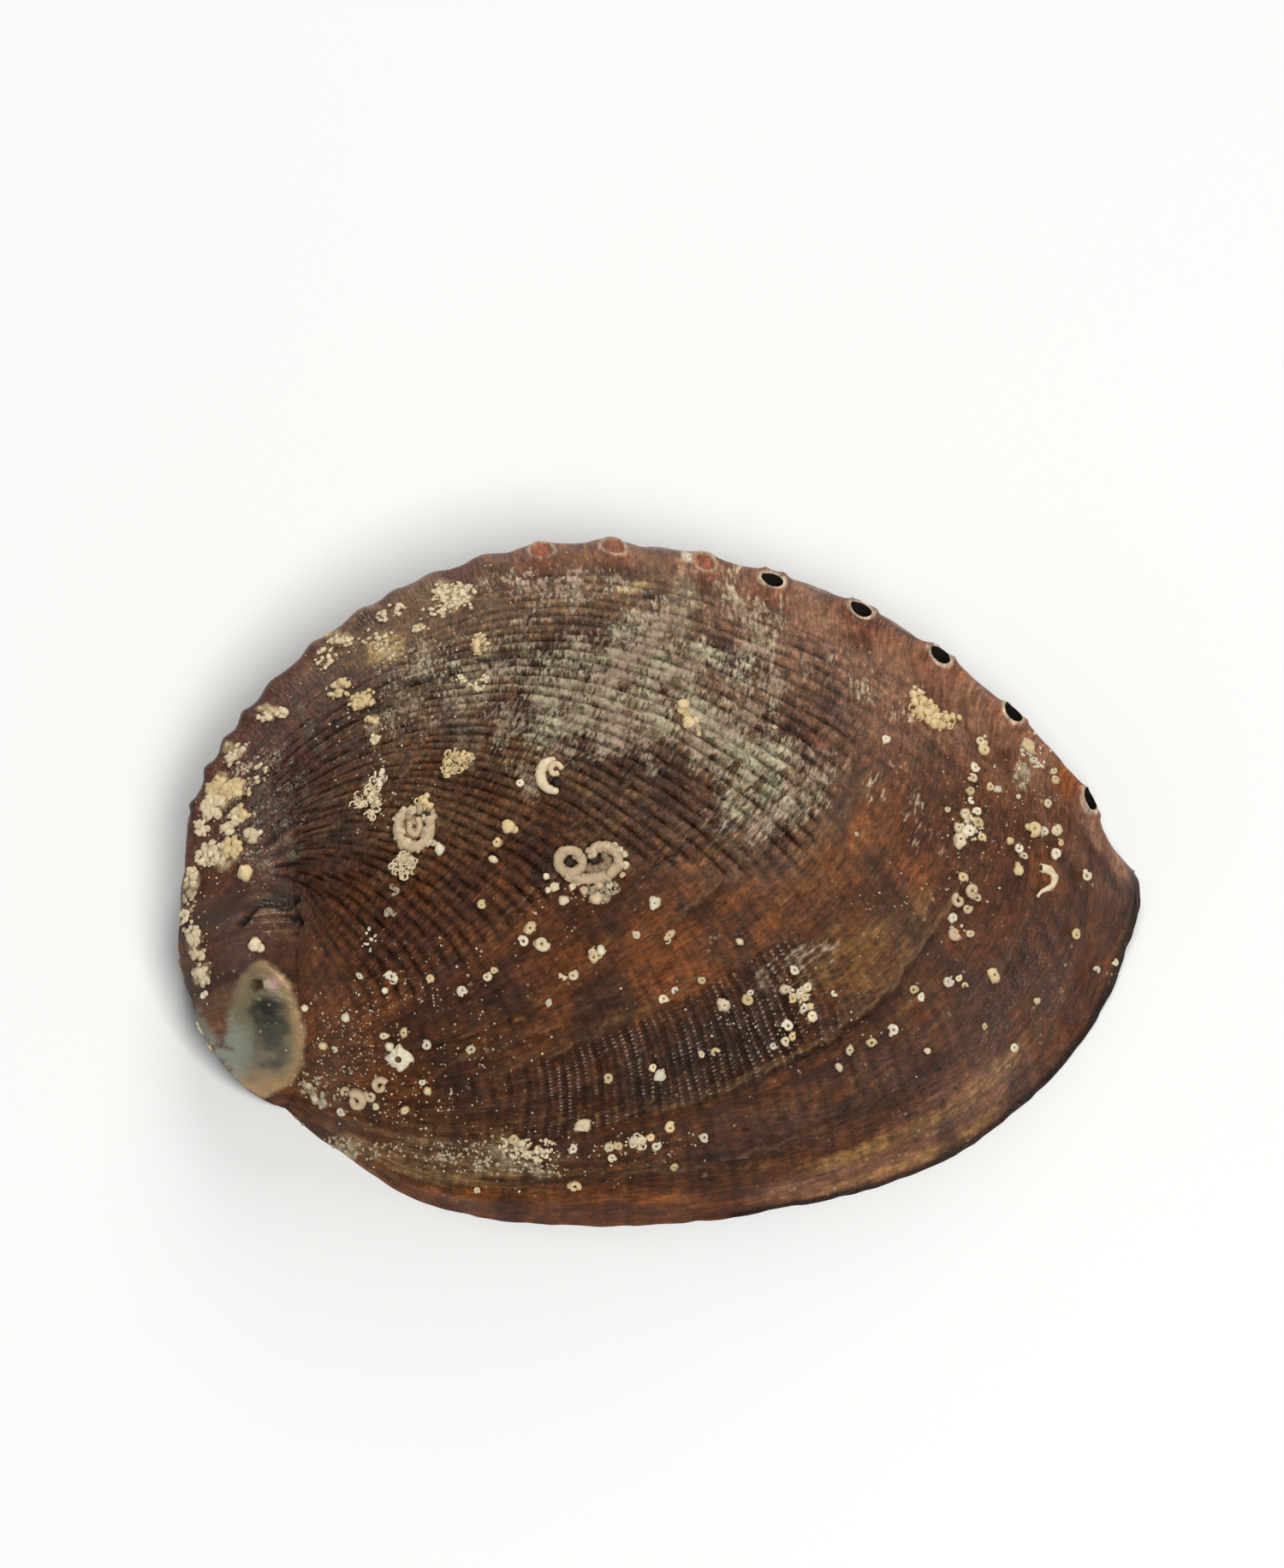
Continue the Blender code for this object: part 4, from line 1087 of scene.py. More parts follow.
# The outline of the nacre that shows where the spire is worn through, by pixel
CAP_OUTLINE = (
    (303, 1121), (322, 1130), (342, 1153), (357, 1204), (354, 1243), (341, 1268), (310, 1280), (285, 1282),
    (262, 1268), (240, 1236), (224, 1196), (229, 1168), (244, 1199), (258, 1222), (266, 1205), (268, 1180),
    (274, 1155), (281, 1138),
)


# The glossy bead along the nacre's right edge
CAP_RIM = ((305, 1127), (322, 1135), (339, 1157), (352, 1204), (350, 1240), (337, 1262), (318, 1272))


def spire_cap(back):
    """How far inside the nacre patch each point lies, as a share from 0 to 1 across its soft edge."""
    inside = np.zeros(len(back.s), bool)
    path = CAP_OUTLINE + CAP_OUTLINE[:1]
    for (ax, ay), (bx, by) in zip(path, path[1:]):
        crosses = (ay > back.py) != (by > back.py)
        if ay != by:
            at = ax + (back.py - ay) / (by - ay) * (bx - ax)
            inside ^= crosses & (back.px < at)
    away = path_distance(back.px, back.py, path) * np.where(inside, 1, -1)
    ragged = 5 * fractal(back.x / 1.2, back.y / 1.2, back.z / 1.2, 3, seed=151)
    return ease(-3, 5, away + ragged) * (back.on_spire | (back.on_crown & (back.v < 0.1)))


def hole_axes(station):
    """An open hole's middle and its axes: along the row, across it and out of the shell."""
    away = outward(seam, station)
    ahead = away * -1j
    normal = np.array((away.real * HOLE_LEAN, away.imag * HOLE_LEAN, 1.0))
    normal /= np.linalg.norm(normal)
    x_axis = np.array((ahead.real, ahead.imag, 0.0))
    x_axis -= normal * (x_axis @ normal)
    x_axis /= np.linalg.norm(x_axis)
    middle = crown(station, 1 - hole_inset(station) / line_length(station))
    return middle, x_axis, np.cross(normal, x_axis), normal


def cut_holes(shell):
    """Opens the row's holes with one cutter of five oval pins."""
    shape = bmesh.new()
    for station in OPEN_HOLES:
        middle, x_axis, y_axis, normal = hole_axes(station)
        axes = Matrix((Vector(x_axis), Vector(y_axis), Vector(normal))).transposed()
        place = Matrix.Translation(Vector(middle + normal * PIN_RISE) * MM) @ axes.to_4x4()
        place = place @ Matrix.Diagonal((1, HOLE_WIDTH / HOLE_LENGTH, 1, 1))
        bmesh.ops.create_cone(
            shape, cap_ends=True, segments=PIN_SIDES, radius1=HOLE_LENGTH / 2 * 0.86 * MM,
            radius2=HOLE_LENGTH / 2 * MM, depth=PIN_LENGTH * MM, matrix=place,
        )
    mesh = bpy.data.meshes.new("hole_pins")
    shape.to_mesh(mesh)
    shape.free()
    for material in shell.data.materials:
        mesh.materials.append(material)
    # The cutter's faces become the holes' walls, which carry the painted shade
    mesh.polygons.foreach_set("material_index", [HOLE_WALL_SLOT] * len(mesh.polygons))
    pins = bpy.data.objects.new("hole_pins", mesh)
    bpy.context.scene.collection.objects.link(pins)
    cut = shell.modifiers.new("holes", "BOOLEAN")
    cut.operation = "DIFFERENCE"
    cut.solver = "EXACT"
    cut.object = pins
    graph = bpy.context.evaluated_depsgraph_get()
    opened = bpy.data.meshes.new_from_object(shell.evaluated_get(graph), depsgraph=graph)
    shell.modifiers.clear()
    shell.data = opened
    bpy.data.objects.remove(pins)


def set_colours(mesh, name, values):
    layer = mesh.attributes.new(name, "FLOAT_COLOR", "POINT")
    rgba = np.ones((len(values), 4), np.float32)
    rgba[:, :3] = values
    layer.data.foreach_set("color", rgba.ravel())


def set_values(mesh, name, values):
    layer = mesh.attributes.new(name, "FLOAT", "POINT")
    layer.data.foreach_set("value", np.asarray(values, np.float32))


def set_vectors(mesh, name, values):
    layer = mesh.attributes.new(name, "FLOAT_VECTOR", "POINT")
    layer.data.foreach_set("vector", np.asarray(values, np.float32).ravel())


def make_mesh(name, place, faces):
    mesh = bpy.data.meshes.new(name)
    place = np.asarray(place, np.float32) * MM
    faces = np.asarray(faces, np.int32)
    mesh.vertices.add(len(place))
    mesh.vertices.foreach_set("co", place.ravel())
    mesh.loops.add(faces.size)
    mesh.loops.foreach_set("vertex_index", faces.ravel())
    mesh.polygons.add(len(faces))
    mesh.polygons.foreach_set("loop_start", np.arange(0, faces.size, faces.shape[1], dtype=np.int32))
    mesh.update(calc_edges=True)
    mesh.validate()
    obj = bpy.data.objects.new(name, mesh)
    bpy.context.scene.collection.objects.link(obj)
    return obj


def shell_faces(outer, inner, base):
    """The triangles of the back, the inside and the edges between them, and each one's material slot."""
    faces = list(outer.faces) + [(base + a, base + c, base + b) for a, b, c in inner.faces]
    slots = [BACK_SLOT] * len(outer.faces) + [INSIDE_SLOT] * len(inner.faces)
    for name in ("lip", "row", "foot"):
        outer_edge = outer.margins[name]
        inner_edge = [(base + k, p) for k, p in inner.margins[name]]
        strip = zipped(inner_edge, outer_edge) if name == "row" else zipped(outer_edge, inner_edge)
        faces += strip
        slots += [BACK_SLOT if name == "lip" else INSIDE_SLOT] * len(strip)
    return faces, slots


def point_values(back, inner):
    """What the materials read at each point of the back, followed by that of the inside."""
    tint, pale, pearl, dull = colours(back)
    v = np.clip(back.v, 0, 1)
    count = len(inner.s)
    numbers = {
        "pale": pale,
        "groove": back.groove,
        "pearl": pearl,
        "dull": dull,
        "strength": np.where(back.on_crown, cord_strength(back.s, v), 0.03),
        "fine_cords": np.where(back.on_crown, fine_cord_share(back.s, v), 0.0),
    }
    numbers = {name: np.concatenate([outside, np.zeros(count)]) for name, outside in numbers.items()}
    tint = np.vstack([tint, np.tile(DARK_BROWN * 0.6, (count, 1))])
    growth = np.vstack([
        np.column_stack([back.s, back.v, back.phase]),
        np.column_stack([inner.s, inner.p, inner.p * CORDS]),
    ])
    return tint, growth, numbers


def make_shell(materials):
    outer = outside_skin()
    form = outer.smooth_form()
    back = Back(outer, form)
    outside = form + vertex_normals(form, outer.faces) * back.relief()[:, None]
    outside[:, 2] = np.maximum(outside[:, 2], 0.0)
    inner = inside_skin()
    inside = lined(inner)
    chip_lip(outside, outer)
    chip_lip(inside, inner)
    back.finished = outside
    place = np.vstack([outside, inside])
    faces, slots = shell_faces(outer, inner, len(outside))
    values = point_values(back, inner)
    shell = make_mesh("abalone_shell", place, faces)
    for material in materials:
        shell.data.materials.append(material)
    shell.data.polygons.foreach_set("material_index", slots)
    cut_holes(shell)
    carry_over(shell.data, place, *values)
    shell.data.shade_smooth()
    shell.data.set_sharp_from_angle(angle=SHARP_ANGLE)
    return shell, Ground(outer, form, outside)


def carry_over(mesh, place, tint, growth, numbers):
    """Gives each point of the opened shell the values of the nearest point that it had before."""
    found = np.empty(len(mesh.vertices) * 3, np.float32)
    mesh.vertices.foreach_get("co", found)
    found = found.reshape(-1, 3) / MM
    near = KDTree(len(place))
    for k, point in enumerate(place):
        near.insert(point, k)
    near.balance()
    index = np.array([near.find(point)[1] for point in found])
    set_colours(mesh, "tint", tint[index])
    for name, values in numbers.items():
        set_values(mesh, name, values[index])
    set_vectors(mesh, "growth", growth[index])


# What grew on the shell

class Ground:
    """The finished back, on which the small animals are set by the pixel where the photograph shows them."""

    def __init__(self, outer, form, outside):
        self.points = outside
        self.faces = np.asarray(outer.faces)
        self.normals = vertex_normals(form, outer.faces)
        self.tree = BVHTree.FromPolygons([Vector(point) for point in outside], outer.faces)

    def at_pixel(self, px, py):
        """The place on the back behind a pixel, and the back's normal there."""
        ray = pixel_ray(px, py)
        place, _, face, _ = self.tree.ray_cast(Vector(EYE), ray)
        if place is None:
            place, _, face, _ = self.tree.find_nearest(Vector(EYE) + ray * CAMERA_DISTANCE)
        return self.with_normal(place, face)

    def near(self, point):
        place, _, face, _ = self.tree.find_nearest(Vector(point))
        return self.with_normal(place, face)

    def with_normal(self, place, face):
        normal = self.normals[self.faces[face]].sum(0)
        return np.array(place), normal / np.linalg.norm(normal)


class Growths:
    """Gathers many small shapes into one mesh, with a colour at each point."""

    def __init__(self):
        self.places, self.faces, self.tints = [], [], []
        self.count = 0

    def add(self, places, faces, tints):
        self.places.append(np.asarray(places, float))
        self.faces.append(np.asarray(faces, int) + self.count)
        self.tints.append(np.broadcast_to(tints, np.shape(places)))
        self.count += len(places)

    def make(self, name, material, slot, stands_for=()):
        faces = np.vstack(self.faces)
        obj = make_mesh(name, np.vstack(self.places), faces)
        obj.data.materials.append(material)
        set_colours(obj.data, "tint", np.clip(np.vstack(self.tints), 0, 1))
        obj.data.shade_smooth()
        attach(obj, "root")
        for node in stands_for:
            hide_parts(node)
        return obj


def ball(level):
    """A unit ball of triangles."""
    shape = bmesh.new()
    bmesh.ops.create_icosphere(shape, subdivisions=level, radius=1.0)
    places = np.array([vertex.co[:] for vertex in shape.verts])
    faces = np.array([[vertex.index for vertex in face.verts] for face in shape.faces])
    shape.free()
    return places, faces


BALL = ball(2)
BIG_BALL = ball(3)


def across_axes(normal, turn=0.0):
    """Two directions that lie along the surface, turned about its normal."""
    first = np.cross(normal, (0.0, 0.0, 1.0) if abs(normal[2]) < 0.9 else (0.0, 1.0, 0.0))
    first /= np.linalg.norm(first)
    second = np.cross(normal, first)
    return first * math.cos(turn) + second * math.sin(turn), second * math.cos(turn) - first * math.sin(turn)


def grimed_and_shaded(colour, height, grime):
    """A lime colour that is darker low on a growth and at its foot, as painted shade, and browner with random
    dirt.
    """
    share = np.clip(0.62 - 0.8 * height + 0.4 * grime, 0, 0.9)[..., None]
    return colour * (1 - share) + np.minimum(DIRT_AND_SHADE, colour) * share


def add_lump(growths, place, normal, radius, colour, seed, flat=0.75, stretch=1.0, turn=0.0, rough=0.28):
    unit, faces = BIG_BALL if radius > 0.62 else BALL
    offset = seed * 7.31
    bumps = noise(unit[:, 0] * 1.7 + offset, unit[:, 1] * 1.7, unit[:, 2] * 1.7, seed=201)
    bumps = bumps + 0.5 * noise(unit[:, 0] * 4 + offset, unit[:, 1] * 4, unit[:, 2] * 4, seed=202)
    shaped = unit * (1 + rough * bumps)[:, None] * radius
    first, second = across_axes(normal, turn)
    height = shaped[:, 2] * flat
    places = place + np.outer(shaped[:, 0] * stretch, first) + np.outer(shaped[:, 1], second)
    places = places + np.outer(height + radius * flat * 0.35, normal)
    # Painted shade: the lump's lower part is darker
    growths.add(places, faces, grimed_and_shaded(colour, (height / radius + 1) / 2, bumps))


def add_tube(growths, path, normals, radii, colour, seed, sides=10, rough=0.12, mouth=True, shaded_throat=True):
    """A lumpy worm tube along a path, painted darker underneath as shade; its last end is an open mouth with
    a throat painted dark as shade.
    """
    path = np.asarray(path, float)
    count = len(path)
    radii = np.broadcast_to(np.asarray(radii, float), (count,))
    ahead = np.gradient(path, axis=0)
    ahead /= np.linalg.norm(ahead, axis=1, keepdims=True)
    up = normals - ahead * (normals * ahead).sum(1, keepdims=True)
    up /= np.linalg.norm(up, axis=1, keepdims=True)
    side = np.cross(ahead, up)
    around = np.linspace(0, 2 * math.pi, sides, endpoint=False)
    turn = np.stack([np.cos(around), np.sin(around)], 1)
    ring = np.arange(count)[:, None]
    bumps = noise(ring * 0.9 + seed * 5.7, turn[:, 0] * 1.6, turn[:, 1] * 1.6, seed=211)
    bumps = bumps + 0.6 * noise(ring * 2.1, around * 0 + seed * 3.3, seed=212)
    grown = radii[:, None] * (1 + rough * bumps)
    around_path = side[:, None] * turn[None, :, :1] + up[:, None] * turn[None, :, 1:]
    places = path[:, None] + around_path * grown[..., None]
    # Painted shade: the tube's underside is darker than its top
    tints = grimed_and_shaded(colour, np.broadcast_to(0.55 + 0.45 * turn[:, 1], (count, sides)), bumps)
    places, tints = list(places), list(tints)
    if mouth:
        wide = places[-1] - path[-1]
        # The throat is painted dark as shade
        inner = grimed_and_shaded(DIRT_AND_SHADE, np.full(sides, 0.5), np.zeros(sides)) * 0.35 if shaded_throat else tints[-1] * 0.8
        for share, back_by, tint in ((0.72, -0.12, tints[-1]), (0.6, 0.25, inner), (0.55, 0.9, inner)):
            places.append(path[-1] + wide * share - ahead[-1] * radii[-1] * back_by)
            tints.append(tint)
    rings = len(places)
    faces = []
    for i in range(rings - 1):
        for k in range(sides):
            a, b = i * sides + k, i * sides + (k + 1) % sides
            c, d = a + sides, b + sides
            faces += [(a, b, d), (a, d, c)]
    ends = [(0, path[0] - ahead[0] * radii[0] * 0.5, tints[0].mean(0), False)]
    last_middle = places[-1].mean(0) + (0 if mouth else 1) * ahead[-1] * radii[-1] * 0.5
    ends.append(((rings - 1) * sides, last_middle, tints[-1].mean(0), True))
    all_places = np.vstack(places)
    all_tints = np.vstack(tints)
    for first, middle, tint, forward in ends:
        tip = len(all_places)
        all_places = np.vstack([all_places, middle])
        all_tints = np.vstack([all_tints, tint])
        for k in range(sides):
            a, b = first + k, first + (k + 1) % sides
            faces.append((a, b, tip) if forward else (b, a, tip))
    growths.add(all_places, faces, all_tints)


def add_coil(growths, place, normal, radius, colour, seed, turns=1.35, sides=8, rough=0.15):
    """A small worm tube coiled flat, its mouth on the outside."""
    tube = radius * (0.36 + 0.05 * math.sin(seed * 1.9))
    start = seed * 2.39996
    way = 1 if seed % 3 else -1
    along = np.linspace(0, 1, 15)
    first, second = across_axes(normal, start)
    reach = radius * (0.28 + 0.38 * along)
    angle = way * along * turns * 2 * math.pi
    path = place + np.outer(reach * np.cos(angle), first) + np.outer(reach * np.sin(angle), second)
    path = path + np.outer(tube * (0.75 + 0.35 * (1 - along)), normal)
    normals = np.tile(normal, (len(path), 1))
    add_tube(growths, path, normals, tube * (0.72 + 0.38 * along), colour, seed, sides, rough)


def add_worm(growths, place, normal, radius, colour, seed, random):
    """One small worm: a whole coil, an open curl, or a coil that has grown over into a lump."""
    form = random.integers(0, 7)
    if form < 2:
        add_lump(growths, place, normal, radius * 0.85, colour, seed, 0.6, random.uniform(1, 1.4), seed, 0.45)
        add_lump(growths, place + normal * radius * 0.55, normal, radius * 0.22, DIRT_AND_SHADE * 0.6, seed + 1, 0.4)
    elif form == 2:
        add_coil(growths, place, normal, radius, colour, seed, 0.7, rough=0.25)
    else:
        add_coil(growths, place, normal, radius, colour, seed, random.uniform(0.95, 1.4), rough=0.22)
        side = across_axes(normal, seed * 1.3)[0]
        add_lump(growths, place + side * radius * 0.6, normal, radius * 0.42, colour, seed + 2, rough=0.4)


def add_tuft(growths, ground, px, py, radius, colour, seed, count):
    """A frill of tiny broken tubes and flakes, such as small colonies leave."""
    random = np.random.default_rng(seed)
    for k in range(count):
        turn = random.uniform(0, 2 * math.pi)
        away = radius * PIXELS_PER_MM * math.sqrt(random.uniform(0, 1))
        place, normal = ground.at_pixel(px + away * math.cos(turn), py + away * math.sin(turn))
        lean = normal + random.normal(0, 0.5, 3)
        lean /= np.linalg.norm(lean)
        size = random.uniform(0.16, 0.34)
        if k % 3 == 0:
            add_lump(growths, place, normal, size * 1.1, colour, seed + k, 0.9)
            continue
        first, second = across_axes(lean, turn)
        angle = np.linspace(0, random.uniform(2.2, 4.6), 7)
        path = place + size * 1.5 * (np.outer(np.cos(angle), first) + np.outer(np.sin(angle), second))
        path = path + normal * size * 0.8
        add_tube(growths, path, np.tile(lean, (7, 1)), size * 0.36, colour, seed + k, 6, 0.2, mouth=False)


def surface_path(ground, pixels, lift, steps):
    """A smooth path over the back through pixels, lifted off it by a radius."""
    pixels = np.asarray(pixels, float)
    at = np.linspace(0, 1, steps)
    smooth_pixels = smooth(arc_stations(pixels), pixels, at)
    found = [ground.at_pixel(px, py) for px, py in smooth_pixels]
    normals = np.array([normal for _, normal in found])
    places = np.array([place for place, _ in found])
    places = (places + np.roll(places, 1, 0) + np.roll(places, -1, 0)) / 3
    places[0], places[-1] = found[0][0], found[-1][0]
    return places + normals * lift, normals


# The five animals that are solids in the frame, by pixel

TWIN_RING = (
    (676, 1000), (668, 994), (658, 996), (652, 1005), (655, 1015), (664, 1020), (674, 1018), (680, 1009),
    (677, 1000),
)
TWIN_LOOP = (
    (688, 997), (697, 990), (709, 990), (719, 997), (722, 1008), (716, 1018), (704, 1024), (690, 1027),
    (676, 1027), (663, 1025),
)
TWIN_FILLING = (
    (706, 1000), (710, 1006), (704, 1012), (696, 1016), (688, 1014), (712, 1012), (690, 1020), (700, 1020),
)
TWIN_FRILL = (706, 1040)
TWIN_SCRAPS = 44
BEAD_FULLNESS = 0.75
# Dark lumps in the twin tubes' mouths, as painted shade
TWIN_MOUTH_SHADES = ((665, 1007, 6.5), (695, 1003, 6.5))
TWIN_BEADS = (
    (718, 988, 6), (729, 998, 6), (730, 1011, 7), (727, 1022, 5), (648, 1036, 8), (658, 1052, 8),
    (697, 1049, 10), (638, 1024, 6), (668, 1036, 6), (682, 1040, 7), (712, 1034, 6), (672, 1030, 7),
    (700, 1034, 7), (640, 1040, 5),
)
COIL_TUBE = (
    (502, 955), (503, 968), (498, 981), (486, 990), (474, 987), (466, 976), (467, 961), (475, 951),
    (486, 946),
)
COIL_HUB = ((489, 957), (491, 967), (486, 976), (479, 972), (480, 962))
COIL_BEADS = ((496, 937, 7), (490, 944, 7), (502, 942, 6), (484, 948, 5), (505, 950, 5), (499, 930, 5))
COIL_MIDDLE = (484, 967)
# Dark lumps in the coil's hollow and mouth, as painted shade
COIL_HOLLOW_SHADE = (484, 966)
COIL_MOUTH_SHADE = (499, 953)
COIL_FRILL = (497, 943)
COIL_SCATTER = 5
CRESCENT_TUBE = ((648, 889), (638, 892), (632, 902), (632, 913), (639, 922), (651, 926))
CRESCENT_HUB = ((656, 900), (650, 894), (643, 899), (645, 906), (652, 905))
# A dark lump in the crescent's hollow, as painted shade
CRESCENT_HOLLOW_SHADE = (651, 914)
KNOT_LUMPS = (
    (1066, 812, 8), (1074, 810, 7), (1068, 821, 8), (1077, 820, 8), (1074, 830, 8), (1082, 833, 9),
    (1084, 842, 8), (1091, 846, 9), (1094, 838, 8), (1088, 829, 7), (1100, 848, 8), (1105, 840, 7),
    (1112, 838, 6), (1120, 839, 5), (1086, 821, 5), (1068, 804, 4), (1108, 848, 5),
)
KNOT_FRILLS = ((1078, 828, 1.6, 150, 60), (1100, 843, 1.2, 151, 34))
KNOT_FULLNESS = 0.72
STAR_MIDDLE = (467, 1236)
STAR_RADIUS = 1.85
STAR_SIDES = 96
STAR_PROFILE = (
    (1.0, 0.05), (0.94, 0.28), (0.8, 0.46), (0.6, 0.62), (0.42, 0.78), (0.3, 0.86), (0.24, 0.8),
    (0.2, 0.55), (0.17, 0.25),
)

# Small coiled worms by pixel, with their width in pixels
WORMS = (
    (1034, 864, 11), (1144, 866, 14), (1149, 877, 16), (1138, 897, 12), (1136, 910, 12), (1133, 924, 12),
    (1134, 935, 10), (1127, 951, 13), (1141, 962, 15), (1131, 972, 17), (1121, 981, 15), (1146, 979, 12),
    (1141, 949, 12), (1119, 967, 11), (1157, 920, 11), (1165, 923, 9), (1106, 946, 8), (1201, 872, 14),
    (1207, 888, 10), (1230, 901, 9), (1232, 911, 11), (1189, 931, 7), (1223, 939, 11), (1206, 969, 19),
    (1219, 972, 12), (1234, 971, 13), (1180, 983, 10), (1189, 992, 12), (1196, 1001, 11), (1190, 1016, 13),
    (1233, 998, 14), (1268, 1023, 14), (1124, 1026, 13), (1113, 1073, 12), (1133, 1091, 10),
    (1256, 1092, 14), (1280, 1134, 11), (1302, 1125, 9), (1160, 1139, 14), (1107, 1147, 13),
    (1119, 1143, 9), (1126, 1152, 10), (928, 1133, 12), (918, 1156, 12), (925, 1166, 12), (934, 1158, 11),
    (943, 1154, 12), (940, 1165, 10), (938, 1178, 12), (949, 1187, 13), (946, 1176, 9), (920, 1199, 15),
    (918, 1216, 12), (926, 1211, 10), (903, 1222, 9), (845, 1174, 15), (874, 1168, 14), (877, 1160, 9),
    (864, 1101, 9), (782, 1092, 10), (764, 1055, 14), (743, 1092, 10), (820, 1145, 10), (789, 1157, 10),
    (775, 1167, 12), (835, 1230, 13), (771, 1257, 13), (763, 1247, 10), (710, 1259, 13), (974, 1160, 9),
    (993, 1227, 11), (1018, 1219, 13), (1043, 1204, 14), (980, 1247, 9), (1067, 1157, 12),
    (1076, 1165, 10), (1211, 1169, 9), (1150, 1199, 8), (1184, 1223, 12), (1083, 1228, 8), (783, 1317, 14),
    (823, 1328, 13), (712, 1340, 12), (722, 1338, 11), (740, 1332, 12), (750, 1332, 12), (760, 1328, 10),
    (766, 1338, 13), (715, 1352, 11), (787, 1363, 10), (498, 1221, 13), (551, 1226, 13), (502, 1143, 10),
    (540, 1157, 13), (569, 1141, 12), (577, 1134, 9), (420, 1140, 8), (403, 1187, 11), (376, 1221, 9),
    (391, 1226, 9), (449, 1210, 10), (472, 1206, 10), (399, 1298, 11), (439, 1293, 9), (473, 1297, 10),
    (368, 1283, 9), (361, 1268, 9), (500, 1275, 10), (493, 1264, 9), (680, 1315, 16), (671, 1386, 16),
    (669, 1342, 12), (558, 1390, 8), (619, 1084, 13), (611, 1100, 15), (633, 1102, 19), (694, 1118, 14),
    (702, 1110, 11), (669, 1139, 13), (563, 1057, 11), (513, 992, 12), (506, 985, 9), (580, 984, 11),
    (607, 915, 10), (576, 1004, 9), (600, 1330, 13), (641, 1172, 8), (1000, 975, 6), (905, 850, 6),
    (1113, 1091, 12), (820, 1232, 8), (1239, 985, 8),
)
# Larger open rings of pinkish tube
PINK_RINGS = (
    (445, 1268, 26), (418, 1285, 30), (1135, 1041, 19), (1119, 1053, 20), (1141, 1050, 14),
    (1114, 1091, 18), (434, 1280, 18), (405, 1275, 16), (1129, 1062, 14),
)
# Lone balls of lime
LONE_FULLNESS = 0.6
LUMPS = (
    (288, 1021, 16, "yellow"), (798, 824, 12, "yellow"), (796, 830, 9, "yellow"), (801, 836, 9, "yellow"),
    (804, 845, 13, "yellow"), (813, 842, 8, "yellow"), (816, 858, 5, "yellow"), (299, 1104, 13, "cream"),
    (305, 1108, 8, "cream"), (594, 966, 13, "yellow"), (601, 970, 8, "yellow"), (377, 1221, 9, "yellow"),
    (462, 1143, 7, "white"), (450, 1157, 7, "white"), (404, 1189, 8, "white"), (356, 1177, 8, "cream"),
    (238, 1163, 7, "white"), (241, 1160, 6, "white"), (500, 1274, 8, "yellow"), (455, 1222, 9, "white"),
)
S_TUBE = ((1211, 1048), (1217, 1041), (1225, 1038), (1230, 1031), (1229, 1022), (1222, 1016), (1215, 1015))

